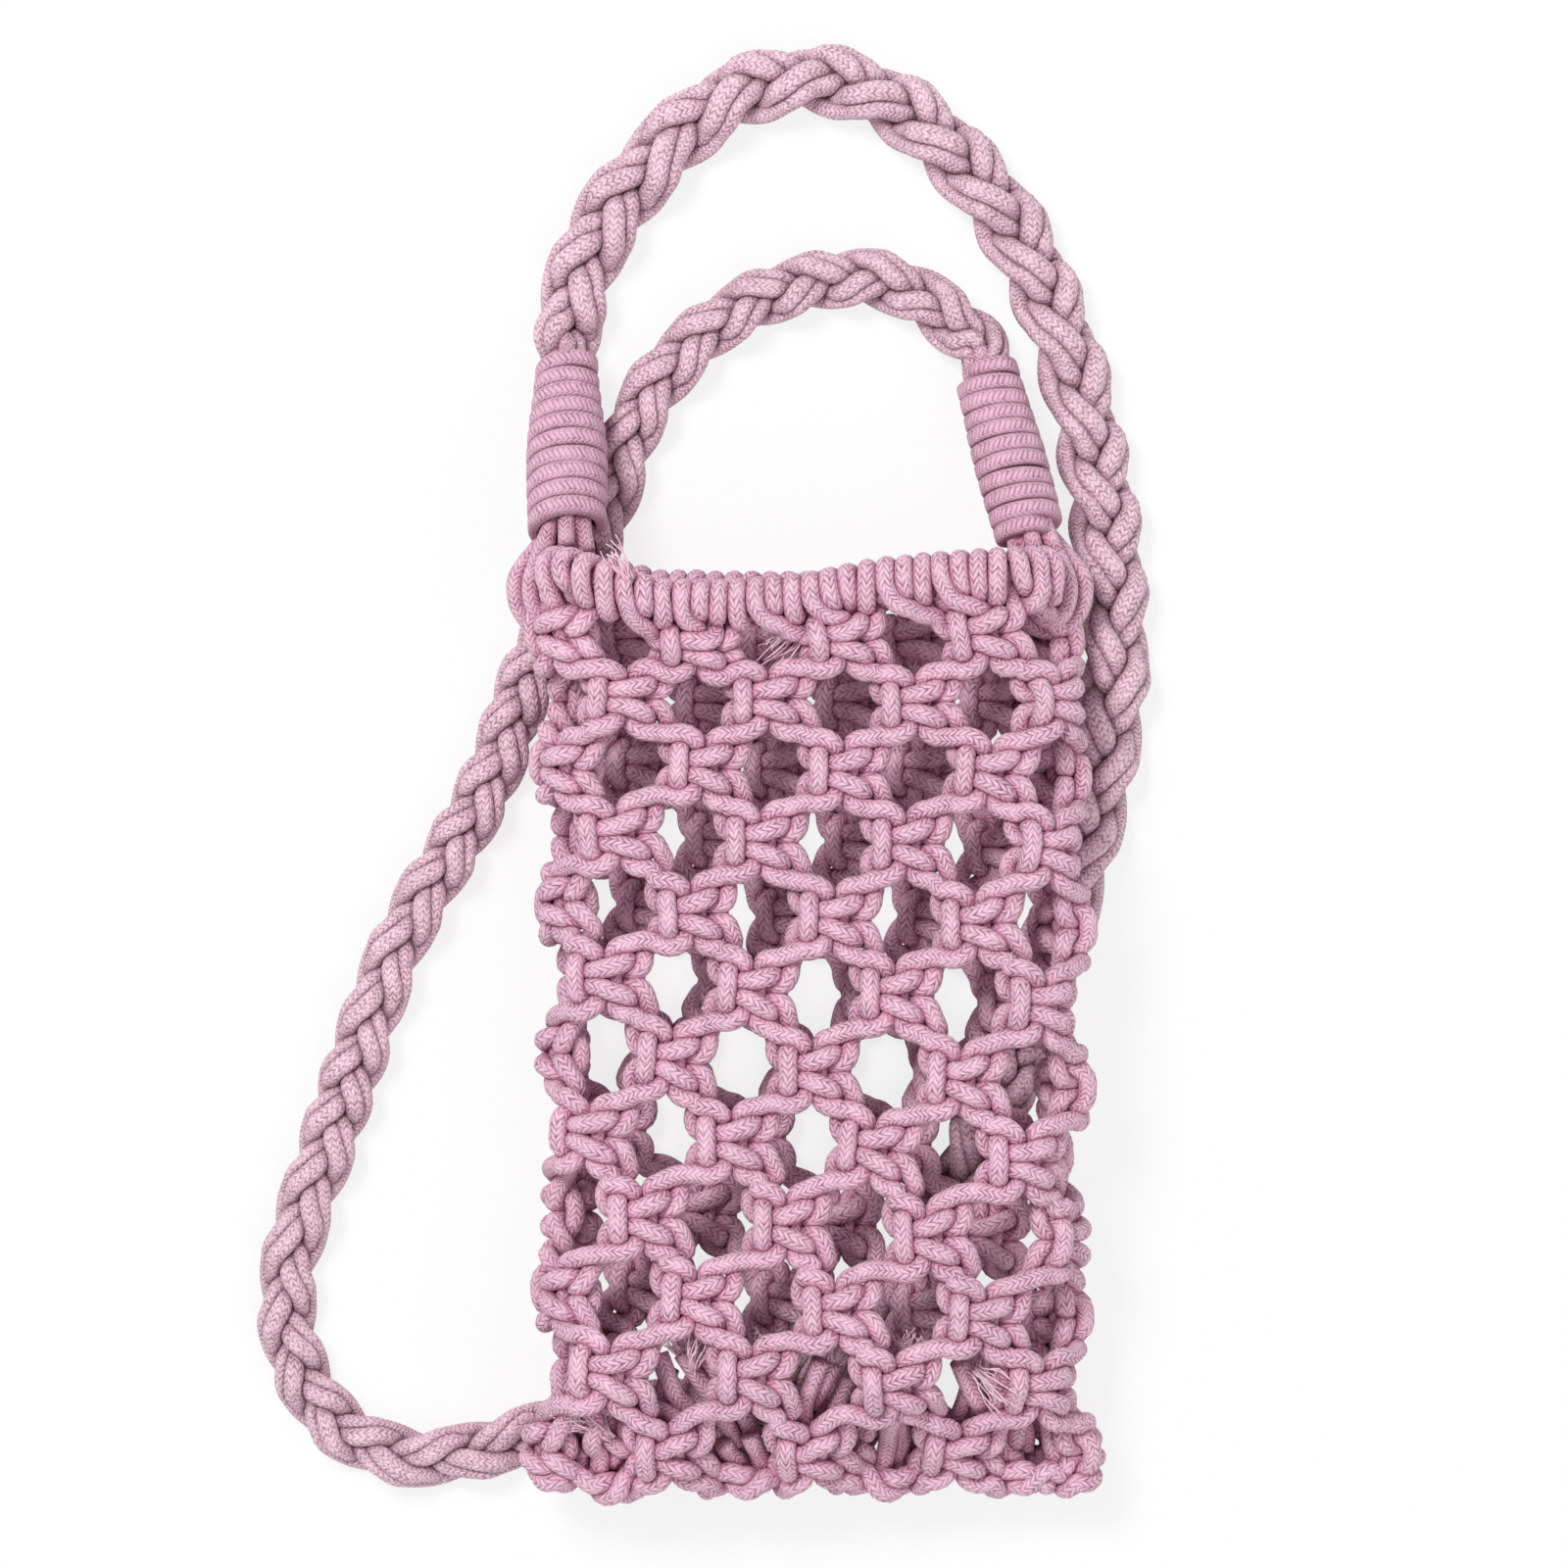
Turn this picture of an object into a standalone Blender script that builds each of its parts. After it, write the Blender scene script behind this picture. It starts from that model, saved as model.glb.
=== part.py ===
"""Crossbody phone bag: a knotted net pouch on a rim cord, with a braided strap.

The bag lies on its back, mouth towards +Y, and its strap is laid in a loop round
and under it. Sixteen doubled cords hang from the rim ring and make the net. Four
legs meet at each knot, and the knots of one row stand between those of the next.
The strap's two ends are bound in a winding each, and each end hooks round the
rim ring with two cords, on which it swings.
"""

import math

import bmesh
import bpy
from mathutils import Vector

MM = 0.001

BAG_NAME = "crossbody_phone_bag"

# Net cords. Each doubled cord gives two legs, and each row has a knot for every four.
CORD_DIAMETER = 3.5 * MM
CORD_ROUNDNESS = 1
DOUBLED_CORDS = 16
LEGS_PER_KNOT = 4
KNOT_PITCH = 29.0 * MM
LEG_SPACING = 3.3 * MM
LAYER_OFFSET = 2.15 * MM
KNOT_HALF_HEIGHT = 4.0 * MM
FIRST_KNOT_HALF_HEIGHT = 1.6 * MM
NET_LENGTH = 187.0 * MM
BASE_END = 4.0 * MM
TIGHT_TURN_DEGREES = 20.0
WELD_SHARE = 0.001

# Rows of knots: how far down the net each row is, as a share of its length, and how far
# its first knot is from the left edge, as a share of the knots' pitch. The net is
# skewed, so each row starts further left than the one above it. Halfway down, the rows
# also sink towards the right, by this share of the distance across.
ROW_SHARES = (0.072, 0.120, 0.195, 0.275, 0.355, 0.435, 0.521, 0.601, 0.692, 0.778, 0.852, 0.932)
ROW_START_SHARES = (0.414, 0.31, 0.22, 0.155, 0.145, 0.06, 0.02, -0.055, -0.19, -0.31, -0.45, -0.6)
ROW_TILT_SHARE = 0.06
TILT_RISE_SHARE = 0.5
TILT_FADE_SHARE = 0.25

# How far the front and the back of the bag stand apart, and how far the rim is pulled
# to the left of the net by the strap
RIM_HALF_GAP = 12.5 * MM
NET_HALF_GAP = 12.0 * MM
BASE_HALF_GAP = 4.8 * MM
RIM_SHIFT = 2.6 * MM
RIM_BLEND = 20.0 * MM
BASE_BLEND = 34.0 * MM
PRESSED_FLAT = 0.35 * MM

# Rim ring and the cords' hitches round it
RING_DIAMETER = 2.8 * MM
RING_POINTS = 56
HITCH_RADIUS = 3.9 * MM
HITCH_HALF_TURNS = 3
HITCH_POINTS_PER_HALF_TURN = 4
HITCH_WIDTH = 6.6 * MM
SIDE_HITCH_WIDTH = 9.9 * MM
FIRST_HITCH = 11.6 * MM
LAST_HITCH = 15.4 * MM
DROP_BELOW_RING = 7.8 * MM

# Braided strap
STRAP_DIAMETER = 12.0 * MM
STRAP_UNDER_DIAMETER = 8.6 * MM
STRAP_ROUNDNESS = 2
STRAP_SPACING = 11.0 * MM
STRAP_CLEARANCE = 1.4 * MM
DRAPE_REACH = 22.0 * MM
STRAP_STRAIGHT = 4.0 * MM
SEAT_GAP = 0.3 * MM
CURVE_STEPS = 24

# Strap ends: windings, the cords bound in them and the loops round the rim ring
WINDING_DIAMETER = 3.1 * MM
WINDING_PITCH = 3.62 * MM
WINDING_POINTS = 16
WINDING_LOOPS = 10
TAPER_START_SHARE = 0.45
TAPER_SHARES = (0.0, 0.36, 0.73, 1.0)
BUNDLE_DIAMETER = 8.4 * MM
BUNDLE_TIP_DIAMETER = 6.0 * MM
BUNDLE_OVERHANG = 1.6 * MM
ANCHOR_DIAMETER = 3.4 * MM
ANCHOR_INNER_RADIUS = 3.8 * MM
ANCHOR_OUTER_RADIUS = 7.2 * MM
ANCHOR_STEP = 1.6 * MM
ANCHOR_END_OFFSET = 2.25 * MM
ANCHOR_STRAIGHT = 2.4 * MM
ANCHOR_POINTS = 11
ANCHOR_START_DEGREES = 160.0
ANCHOR_SWEEP_DEGREES = 220.0

# Where the strap ends lie: how far the winding's lower end is inwards from the rim's
# edge and above the ring, and the winding's length and lean as seen from above.
LEFT_END_INSET = 3.3 * MM
RIGHT_END_INSET = 4.1 * MM
LEFT_END_SEAT = 11.8 * MM
RIGHT_END_SEAT = 11.4 * MM
LEFT_END_LENGTH = 36.8 * MM
RIGHT_END_LENGTH = 36.2 * MM
LEFT_END_LEAN_DEGREES = 0.9
RIGHT_END_LEAN_DEGREES = 14.6
END_DROP = 1.6 * MM
END_REST_HEIGHT = 7.0 * MM

# Frayed tufts inside the base. Both ends' places down the net are shares of its
# length. The root's place across is a share of half the bag's width, the tip's lean a
# share of the tuft's length, and the root's depth below the pouch's middle a share of
# the tip's width.
TUFT_ROOT_DIAMETER = 2.2 * MM
TUFT_TIP_DIAMETER = 6.0 * MM
TUFT_ROUNDNESS = 2
TUFT_ROOT_SHARE = 0.94
TUFT_TIP_SHARE = 0.835
TUFT_ACROSS_SHARES = (-0.82, -0.414, -0.052, 0.293, 0.62)
TUFT_LEAN_SHARES = (0.15, -0.25, 0.3, -0.15, 0.25)
TUFT_SINK_SHARES = (0.1, 0.26, 0.24, 0.95, 0.3)

PINK = (0.62, 0.335, 0.475, 1.0)
STRAP_PINK = (0.56, 0.345, 0.445, 1.0)
COTTON_ROUGHNESS = 0.85

# The strap's route, in millimetres from the middle of the rim ring: across, towards the
# mouth, and how much of the bag's thickness lies on it there. It leaves the left winding,
# goes over the top and down the right side, under the net to the base, out at the
# left, up the left side, under the rim's left end and round to the right winding.
STRAP_ROUTE = (
    (-51.4, 52.6, 0.0),
    (-46.8, 66.4, 0.0),
    (-40.1, 78.5, 0.0),
    (-28.3, 91.6, 0.0),
    (-14.2, 101.6, 0.0),
    (1.9, 103.8, 0.0),
    (16.3, 99.2, 0.0),
    (28.1, 89.4, 0.0),
    (39.3, 75.9, 0.0),
    (48.4, 58.5, 0.0),
    (54.2, 41.5, 0.0),
    (58.5, 24.0, 0.0),
    (61.2, 6.4, 0.0),
    (62.2, -11.3, 0.3),
    (60.6, -28.8, 0.6),
    (57.0, -46.4, 0.9),
    (52.0, -63.6, 1.0),
    (47.6, -77.6, 1.0),
    (42.6, -91.4, 1.0),
    (37.2, -105.4, 1.0),
    (32.0, -119.4, 1.0),
    (26.4, -133.4, 1.0),
    (18.6, -146.8, 1.0),
    (7.6, -157.6, 1.0),
    (-6.0, -165.4, 1.0),
    (-26.0, -167.6, 1.0),
    (-44.0, -170.0, 1.0),
    (-59.6, -173.6, 0.8),
    (-73.5, -177.4, 0.2),
    (-87.6, -177.0, 0.0),
    (-99.4, -170.0, 0.0),
    (-106.4, -158.0, 0.0),
    (-108.4, -143.4, 0.0),
    (-105.8, -129.6, 0.0),
    (-100.8, -116.4, 0.0),
    (-95.6, -100.8, 0.0),
    (-89.8, -82.9, 0.0),
    (-82.6, -67.3, 0.0),
    (-73.9, -52.4, 0.0),
    (-66.2, -37.6, 0.3),
    (-60.2, -21.2, 1.0),
    (-54.4, -9.0, 1.0),
    (-48.0, 3.8, 1.0),
    (-42.6, 17.4, 0.8),
    (-38.2, 31.0, 0.2),
    (-31.6, 42.6, 0.0),
    (-22.6, 51.6, 0.0),
    (-12.2, 58.2, 0.0),
    (0.2, 62.4, 0.0),
    (13.6, 62.6, 0.0),
    (24.6, 57.6, 0.0),
    (32.0, 48.6, 0.0),
)

# Where the strap's two stretches meet, hidden under the bag, in the same measures
STRAP_MEETING = (-6.0, -165.4)


def material(name, colour):
    made = bpy.data.materials.new(name)
    made.use_nodes = True
    surface = made.node_tree.nodes["Principled BSDF"]
    surface.inputs["Base Color"].default_value = colour
    surface.inputs["Roughness"].default_value = COTTON_ROUGHNESS
    surface.inputs["Metallic"].default_value = 0.0
    return made


def smooth(share):
    share = max(0.0, min(1.0, share))
    return share * share * (3.0 - 2.0 * share)


def spline_points(route, spacing):
    """Points a given distance apart on a smooth curve through the route's points."""
    fine = []
    ends = [2 * route[0] - route[1], *route, 2 * route[-1] - route[-2]]
    for before, start, end, after in zip(ends, ends[1:], ends[2:], ends[3:]):
        for step in range(CURVE_STEPS):
            t = step / CURVE_STEPS
            fine.append(
                0.5
                * (
                    2 * start
                    + (end - before) * t
                    + (2 * before - 5 * start + 4 * end - after) * t**2
                    + (3 * start - before - 3 * end + after) * t**3
                )
            )
    fine.append(route[-1])
    lengths = [0.0]
    for start, end in zip(fine, fine[1:]):
        lengths.append(lengths[-1] + (end.xy - start.xy).length)
    count = max(2, round(lengths[-1] / spacing))
    points = []
    reached = 0
    for index in range(count + 1):
        target = lengths[-1] * index / count
        while reached < len(fine) - 2 and lengths[reached + 1] < target:
            reached += 1
        span = max(lengths[reached + 1] - lengths[reached], 1e-9)
        points.append(fine[reached].lerp(fine[reached + 1], (target - lengths[reached]) / span))
    return points


def route_of(table):
    """The strap's route as vectors: across, along, and the share of it that is covered."""
    return [Vector((across * MM, along * MM, cover)) for across, along, cover in table]


ROUTE = spline_points(route_of(STRAP_ROUTE), STRAP_SPACING)


def lift(across, along):
    """How far the strap under the bag holds the net up at this place."""
    full = STRAP_UNDER_DIAMETER + STRAP_CLEARANCE
    highest = 0.0
    here = Vector((across, along))
    for start, end in zip(ROUTE, ROUTE[1:]):
        run = end.xy - start.xy
        share = max(0.0, min(1.0, (here - start.xy).dot(run) / run.length_squared))
        nearest = start.lerp(end, share)
        away = (here - nearest.xy).length / DRAPE_REACH
        highest = max(highest, full * max(0.0, nearest.z) * math.exp(-away * away))
    return highest


def way_round():
    """The distance once round the net, which is all the knots of a row."""
    return 2 * DOUBLED_CORDS / LEGS_PER_KNOT * KNOT_PITCH


def half_gap(along):
    """Half the distance between the front and the back of the net."""
    below = -along
    rim = smooth(below / RIM_BLEND)
    base = smooth((below - NET_LENGTH + BASE_BLEND) / BASE_BLEND)
    gap = RIM_HALF_GAP + (NET_HALF_GAP - RIM_HALF_GAP) * rim
    return gap + (BASE_HALF_GAP - NET_HALF_GAP) * base


def half_thickness(along):
    """From the net's middle surface to its outer face: thick at the hitches, then one knot."""
    at_rim = HITCH_RADIUS + CORD_DIAMETER / 2
    at_net = LAYER_OFFSET + CORD_DIAMETER / 2
    return at_rim + (at_net - at_rim) * smooth(-along / RIM_BLEND)


def middle_height(across, along):
    flat = half_gap(along) + half_thickness(along) - PRESSED_FLAT
    return flat + lift(across, along)


def row_tilt(along):
    """How much the rows of knots sink towards the right, halfway down the net."""
    share = -along / NET_LENGTH
    return ROW_TILT_SHARE * smooth(share / TILT_RISE_SHARE) * smooth((1.0 - share) / TILT_FADE_SHARE)


def on_net(turn, along, out):
    """A point on the flattened tube of the net: the way round it from its left edge, the
    place along it, and the distance outwards from its middle surface."""
    radius = half_gap(along)
    round_it = way_round()
    straight = (round_it - 2 * math.pi * radius) / 4
    quarter = math.pi * radius / 2
    turn = turn % round_it
    if turn < quarter:
        angle = math.pi - turn / radius
        centre = -straight
    elif turn < quarter + 2 * straight:
        angle = math.pi / 2
        centre = -straight + turn - quarter
    elif turn < 3 * quarter + 2 * straight:
        angle = math.pi / 2 - (turn - quarter - 2 * straight) / radius
        centre = straight
    elif turn < 3 * quarter + 4 * straight:
        angle = -math.pi / 2
        centre = straight - (turn - 3 * quarter - 2 * straight)
    else:
        angle = -math.pi / 2 - (turn - 3 * quarter - 4 * straight) / radius
        centre = -straight
    outwards = Vector((math.cos(angle), 0.0, math.sin(angle)))
    point = Vector((centre, along, 0.0)) + outwards * (radius + out)
    point.x -= RIM_SHIFT * (1.0 - smooth(-along / RIM_BLEND))
    point.z += middle_height(point.x, along)
    point.y -= row_tilt(along) * point.x
    return point, outwards


def tube(name, points, diameter, look, roundness, parts, widths=None, closed=False, pivot=None):
    """A cord along the points, as a named object whose origin is at the pivot."""
    pivot = pivot or Vector((0.0, 0.0, 0.0))
    curve = bpy.data.curves.new(name, "CURVE")
    curve.dimensions = "3D"
    curve.bevel_depth = diameter / 2
    curve.bevel_resolution = roundness
    curve.use_fill_caps = True
    run = curve.splines.new("POLY")
    run.points.add(len(points) - 1)
    run.use_cyclic_u = closed
    run.use_smooth = True
    for index, point in enumerate(points):
        run.points[index].co = (*(point - pivot), 1.0)
        if widths:
            run.points[index].radius = widths[index] / diameter
    made = bpy.data.objects.new(name, curve)
    made.location = pivot
    curve.materials.append(look)
    parts.objects.link(made)
    return made


def pressed_on_floor(cord, parts):
    """The cord as a mesh, cut flat where it would reach below the surface it lies on."""
    bpy.context.view_layer.update()
    graph = bpy.context.evaluated_depsgraph_get()
    mesh = bpy.data.meshes.new_from_object(cord.evaluated_get(graph))
    work = bmesh.new()
    work.from_mesh(mesh)
    bmesh.ops.remove_doubles(work, verts=work.verts, dist=CORD_DIAMETER * WELD_SHARE)
    cut = bmesh.ops.bisect_plane(
        work,
        geom=[*work.verts, *work.edges, *work.faces],
        plane_co=(0.0, 0.0, 0.0),
        plane_no=(0.0, 0.0, -1.0),
        clear_outer=True,
    )
    rims = [piece for piece in cut["geom_cut"] if isinstance(piece, bmesh.types.BMEdge)]
    bmesh.ops.holes_fill(work, edges=rims, sides=0)
    bmesh.ops.recalc_face_normals(work, faces=work.faces)
    work.to_mesh(mesh)
    work.free()
    name = cord.name
    bpy.data.objects.remove(cord)
    made = bpy.data.objects.new(name, mesh)
    mesh.name = name
    mesh.shade_smooth()
    parts.objects.link(made)
    return made


def hitch_place(cord):
    """Where a doubled cord is hitched, as the way round the rim ring."""
    on_side = DOUBLED_CORDS // 2
    side, place = divmod(cord, on_side)
    half_round = way_round() / 2
    pitch = (half_round - FIRST_HITCH - LAST_HITCH) / (on_side - 1)
    return side * half_round + FIRST_HITCH + place * pitch


def hitch_width(cord):
    """A hitch at a side turn is spread wider, since its turns close up inside."""
    place = cord % (DOUBLED_CORDS // 2)
    return SIDE_HITCH_WIDTH if place in (0, DOUBLED_CORDS // 2 - 1) else HITCH_WIDTH


def hitch(cord):
    """The doubled cord's turns round the rim ring, from its first leg to its second."""
    points = []
    steps = HITCH_HALF_TURNS * HITCH_POINTS_PER_HALF_TURN
    for step in range(steps + 1):
        angle = math.pi * step / HITCH_POINTS_PER_HALF_TURN
        share = step / steps - 0.5
        turn = hitch_place(cord) + share * hitch_width(cord)
        flat, outwards = on_net(turn, 0.0, HITCH_RADIUS * math.cos(angle))
        flat.y += HITCH_RADIUS * math.sin(angle)
        points.append(flat)
    return points


def leg(number):
    """A leg's path down the net, from below the rim to the base, knot by knot."""
    cord, second = divmod(number, 2)
    out = -LAYER_OFFSET if second else LAYER_OFFSET
    marks = [(hitch_place(cord) + (second - 0.5) * hitch_width(cord), -DROP_BELOW_RING)]
    for row, share in enumerate(ROW_SHARES):
        skipped = (row % 2) * LEGS_PER_KNOT // 2
        knot, place = divmod(number - skipped, LEGS_PER_KNOT)
        turn = (ROW_START_SHARES[row] + knot + (row % 2) / 2) * KNOT_PITCH
        turn += (place - (LEGS_PER_KNOT - 1) / 2) * LEG_SPACING
        half = FIRST_KNOT_HALF_HEIGHT if row == 0 else KNOT_HALF_HEIGHT
        marks.append((turn, -NET_LENGTH * share + half))
        marks.append((turn, -NET_LENGTH * share - half))
    marks.append((marks[-1][0], -NET_LENGTH + BASE_END))
    points = []
    last = None
    for turn, along in marks:
        point, outwards = on_net(turn, along, out)
        if last and outwards.angle(last[2]) > math.radians(TIGHT_TURN_DEGREES):
            between, _ = on_net((turn + last[0]) / 2, (along + last[1]) / 2, out)
            points.append(between)
        points.append(point)
        last = (turn, along, outwards)
    return points


def net_cords(look, parts):
    """The sixteen doubled cords: down one leg's path backwards, round the ring, down the other."""
    made = []
    for cord in range(DOUBLED_CORDS):
        path = leg(2 * cord)[::-1] + hitch(cord) + leg(2 * cord + 1)
        name = f"net_cord_{cord + 1:02d}"
        made.append(tube(name, path, CORD_DIAMETER, look, CORD_ROUNDNESS, parts))
    return [pressed_on_floor(cord, parts) for cord in made]


def rim_ring(look, parts):
    """The closed cord inside the rim, from which the net hangs."""
    points = [on_net(way_round() * index / RING_POINTS, 0.0, 0.0)[0] for index in range(RING_POINTS)]
    return tube("rim_ring", points, RING_DIAMETER, look, CORD_ROUNDNESS, parts, closed=True)


class StrapEnd:
    """The places of one strap end: where it swings, and where its winding starts and stops."""

    def __init__(self, side, inset, seat, length, lean):
        self.inwards = -1 if side else 1
        self.pivot, _ = on_net(way_round() / 2 * side, 0.0, 0.0)
        self.low = self.pivot + Vector((self.inwards * inset, seat, -END_DROP))
        self.high = self.low + Vector((-length * math.sin(lean), length * math.cos(lean), 0.0))
        self.high.z = END_REST_HEIGHT
        self.axis = (self.high - self.low).normalized()
        self.length = (self.high - self.low).length
        self.sideways = self.axis.cross(Vector((0.0, 0.0, 1.0))).normalized()
        self.upwards = self.sideways.cross(self.axis)
        self.tip = self.high + self.axis * (BUNDLE_OVERHANG + SEAT_GAP)


def winding_radius(share):
    """The winding cord's distance from the axis: full near the rim, slimmer on the strap."""
    full = BUNDLE_DIAMETER / 2 + WINDING_DIAMETER / 2 + SEAT_GAP
    slim = BUNDLE_TIP_DIAMETER / 2 + WINDING_DIAMETER / 2 + SEAT_GAP
    return full + (slim - full) * smooth((share - TAPER_START_SHARE) / (1.0 - TAPER_START_SHARE))


def winding(name, end, look, parts):
    """The cord wound round a strap end, one unbroken tube with straight ends."""
    steps = WINDING_LOOPS * WINDING_POINTS
    run = WINDING_LOOPS * WINDING_PITCH
    start = (end.length - run) / 2
    points = []
    polygon = 1 / math.cos(math.pi / WINDING_POINTS)
    for step in range(steps + 1):
        share = step / steps
        angle = 2 * math.pi * step / WINDING_POINTS
        radius = winding_radius(share) * polygon
        centre = end.low + end.axis * (start + run * share)
        points.append(
            centre + end.sideways * radius * math.cos(angle) + end.upwards * radius * math.sin(angle)
        )
    first = (points[0] - points[1]).normalized() * WINDING_DIAMETER
    last = (points[-1] - points[-2]).normalized() * WINDING_DIAMETER
    points = [points[0] + first, *points, points[-1] + last]
    print(name, "least gap to itself, mm:", round(least_gap(points, WINDING_DIAMETER) / MM, 2))
    return tube(name, points, WINDING_DIAMETER, look, CORD_ROUNDNESS, parts, pivot=end.pivot)


def least_gap(points, diameter):
    """The least distance between two turns of a winding, less the cord's diameter."""
    least = math.inf
    apart = WINDING_POINTS // 2
    for index, point in enumerate(points):
        for start, stop in zip(points[index + apart :], points[index + apart + 1 :]):
            run = stop - start
            share = max(0.0, min(1.0, (point - start).dot(run) / run.length_squared))
            least = min(least, (point - start.lerp(stop, share)).length)
    return least - diameter


def bundle(name, end, look, parts):
    """The strap cords gathered inside the winding."""
    low = end.low - end.axis * BUNDLE_OVERHANG
    high = end.high + end.axis * BUNDLE_OVERHANG
    shares = [0.0]
    for share in TAPER_SHARES:
        shares.append(TAPER_START_SHARE + (1.0 - TAPER_START_SHARE) * share)
    points = [low.lerp(high, share) for share in shares]
    widths = []
    for share in shares:
        widths.append(2 * winding_radius(share) - WINDING_DIAMETER - 2 * SEAT_GAP)
    return tube(
        name, points, BUNDLE_DIAMETER, look, STRAP_ROUNDNESS, parts, widths=widths, pivot=end.pivot
    )


def anchor(name, end, radius, level, look, parts):
    """One cord of a strap end, looped round the rim ring at its turn."""
    seat = end.low - end.axis * (BUNDLE_OVERHANG + SEAT_GAP)
    points = []
    for index in range(ANCHOR_POINTS):
        share = index / (ANCHOR_POINTS - 1)
        angle = math.radians(ANCHOR_START_DEGREES + ANCHOR_SWEEP_DEGREES * share)
        across = radius * math.cos(angle) * end.inwards
        along = radius * math.sin(angle)
        points.append(end.pivot + Vector((across, along, ANCHOR_STEP * level)))
    rise = end.upwards * ANCHOR_END_OFFSET * level
    for first in (True, False):
        aside = end.sideways * ANCHOR_END_OFFSET * end.inwards
        top = seat + rise - aside if first else seat + rise + aside
        lower = top - end.axis * ANCHOR_STRAIGHT
        points = [top, lower, *points] if first else [*points, lower, top]
    return tube(name, points, ANCHOR_DIAMETER, look, CORD_ROUNDNESS, parts, pivot=end.pivot)


def strap(name, first, last, look, parts, start=None, stop=None):
    """A stretch of the strap, lying on the floor and slimmer where the bag lies on it.
    The end that isn't at a strap end meets the other stretch face to face."""
    points = []
    widths = []
    for place in ROUTE[first : last + 1]:
        width = STRAP_DIAMETER + (STRAP_UNDER_DIAMETER - STRAP_DIAMETER) * smooth(place.z)
        points.append(Vector((place.x, place.y, width / 2)))
        widths.append(width)
    end_width = BUNDLE_TIP_DIAMETER + WINDING_DIAMETER
    meeting = last if start else first
    onward = (ROUTE[meeting + 1].xy - ROUTE[meeting - 1].xy).normalized().to_3d()
    if start:
        points[:1] = [start.tip, start.tip + start.axis * STRAP_STRAIGHT]
        widths[:1] = [end_width, end_width]
        points[-1:] = [points[-1] - onward * STRAP_STRAIGHT, points[-1] - onward * SEAT_GAP / 2]
        widths.append(widths[-1])
    if stop:
        points[-1:] = [stop.tip + stop.axis * STRAP_STRAIGHT, stop.tip]
        widths[-1:] = [end_width, end_width]
        points[:1] = [points[0] + onward * SEAT_GAP / 2, points[0] + onward * STRAP_STRAIGHT]
        widths.insert(0, widths[0])
    return tube(name, points, STRAP_DIAMETER, look, STRAP_ROUNDNESS, parts, widths=widths)


def base_tufts(look, parts):
    """The frayed ends of the net cords, tied at the base and turned up inside the pouch."""
    made = []
    half_width = way_round() / 4
    length = NET_LENGTH * (TUFT_ROOT_SHARE - TUFT_TIP_SHARE)
    places = zip(TUFT_ACROSS_SHARES, TUFT_LEAN_SHARES, TUFT_SINK_SHARES)
    for number, (across, lean, sink) in enumerate(places):
        points = []
        for share in (0.0, 0.5, 1.0):
            aside = across * half_width + lean * length * share * share
            place = Vector((aside, -NET_LENGTH * TUFT_ROOT_SHARE + length * share, 0.0))
            place.z = middle_height(place.x, place.y) - sink * TUFT_TIP_DIAMETER * (1.0 - share)
            points.append(place)
        widths = (TUFT_ROOT_DIAMETER, (TUFT_ROOT_DIAMETER + TUFT_TIP_DIAMETER) / 2, TUFT_TIP_DIAMETER)
        name = f"base_tuft_{number + 1}"
        made.append(
            tube(name, points, TUFT_TIP_DIAMETER, look, TUFT_ROUNDNESS, parts, widths=widths)
        )
    return made


def centre_on_floor(holder, pieces):
    """Moves the whole bag so that the middle of its footprint is the origin. The strap
    lies loose round it and isn't counted."""
    bpy.context.view_layer.update()
    graph = bpy.context.evaluated_depsgraph_get()
    low = Vector((math.inf, math.inf, math.inf))
    high = -low
    for piece in pieces:
        solid = piece.evaluated_get(graph)
        mesh = solid.to_mesh()
        for vertex in mesh.vertices:
            place = solid.matrix_world @ vertex.co
            low = Vector(map(min, low, place))
            high = Vector(map(max, high, place))
        solid.to_mesh_clear()
    middle = (low + high) / 2
    holder.location = (-middle.x, -middle.y, 0.0)


def main():
    for old in list(bpy.data.objects):
        bpy.data.objects.remove(old)
    parts = bpy.data.collections.new(BAG_NAME)
    bpy.context.scene.collection.children.link(parts)
    holder = bpy.data.objects.new(BAG_NAME, None)
    parts.objects.link(holder)
    cotton = material("net_cotton", PINK)
    strap_cotton = material("strap_cotton", STRAP_PINK)

    pieces = net_cords(cotton, parts)
    pieces.append(rim_ring(cotton, parts))
    left_lean = math.radians(LEFT_END_LEAN_DEGREES)
    right_lean = math.radians(RIGHT_END_LEAN_DEGREES)
    left = StrapEnd(0, LEFT_END_INSET, LEFT_END_SEAT, LEFT_END_LENGTH, left_lean)
    right = StrapEnd(1, RIGHT_END_INSET, RIGHT_END_SEAT, RIGHT_END_LENGTH, right_lean)
    for word, end in (("left", left), ("right", right)):
        pieces.append(winding(f"{word}_winding", end, cotton, parts))
        pieces.append(bundle(f"{word}_bundle", end, strap_cotton, parts))
        pieces.append(
            anchor(f"{word}_inner_loop", end, ANCHOR_INNER_RADIUS, 1, cotton, parts)
        )
        pieces.append(
            anchor(f"{word}_outer_loop", end, ANCHOR_OUTER_RADIUS, -1, cotton, parts)
        )
    pieces.extend(base_tufts(cotton, parts))
    meeting_place = Vector(STRAP_MEETING) * MM
    meeting = min(range(len(ROUTE)), key=lambda index: (ROUTE[index].xy - meeting_place).length)
    laid = [
        strap("strap_first_stretch", 0, meeting, strap_cotton, parts, start=left),
        strap("strap_second_stretch", meeting, len(ROUTE) - 1, strap_cotton, parts, stop=right),
    ]
    centre_on_floor(holder, pieces)
    for piece in pieces + laid:
        piece.parent = holder


main()
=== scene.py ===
"""Dresses the crossbody phone bag: knotted net, rim of hitches, wound strap ends and
plaited strap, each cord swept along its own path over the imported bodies."""

import math

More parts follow.
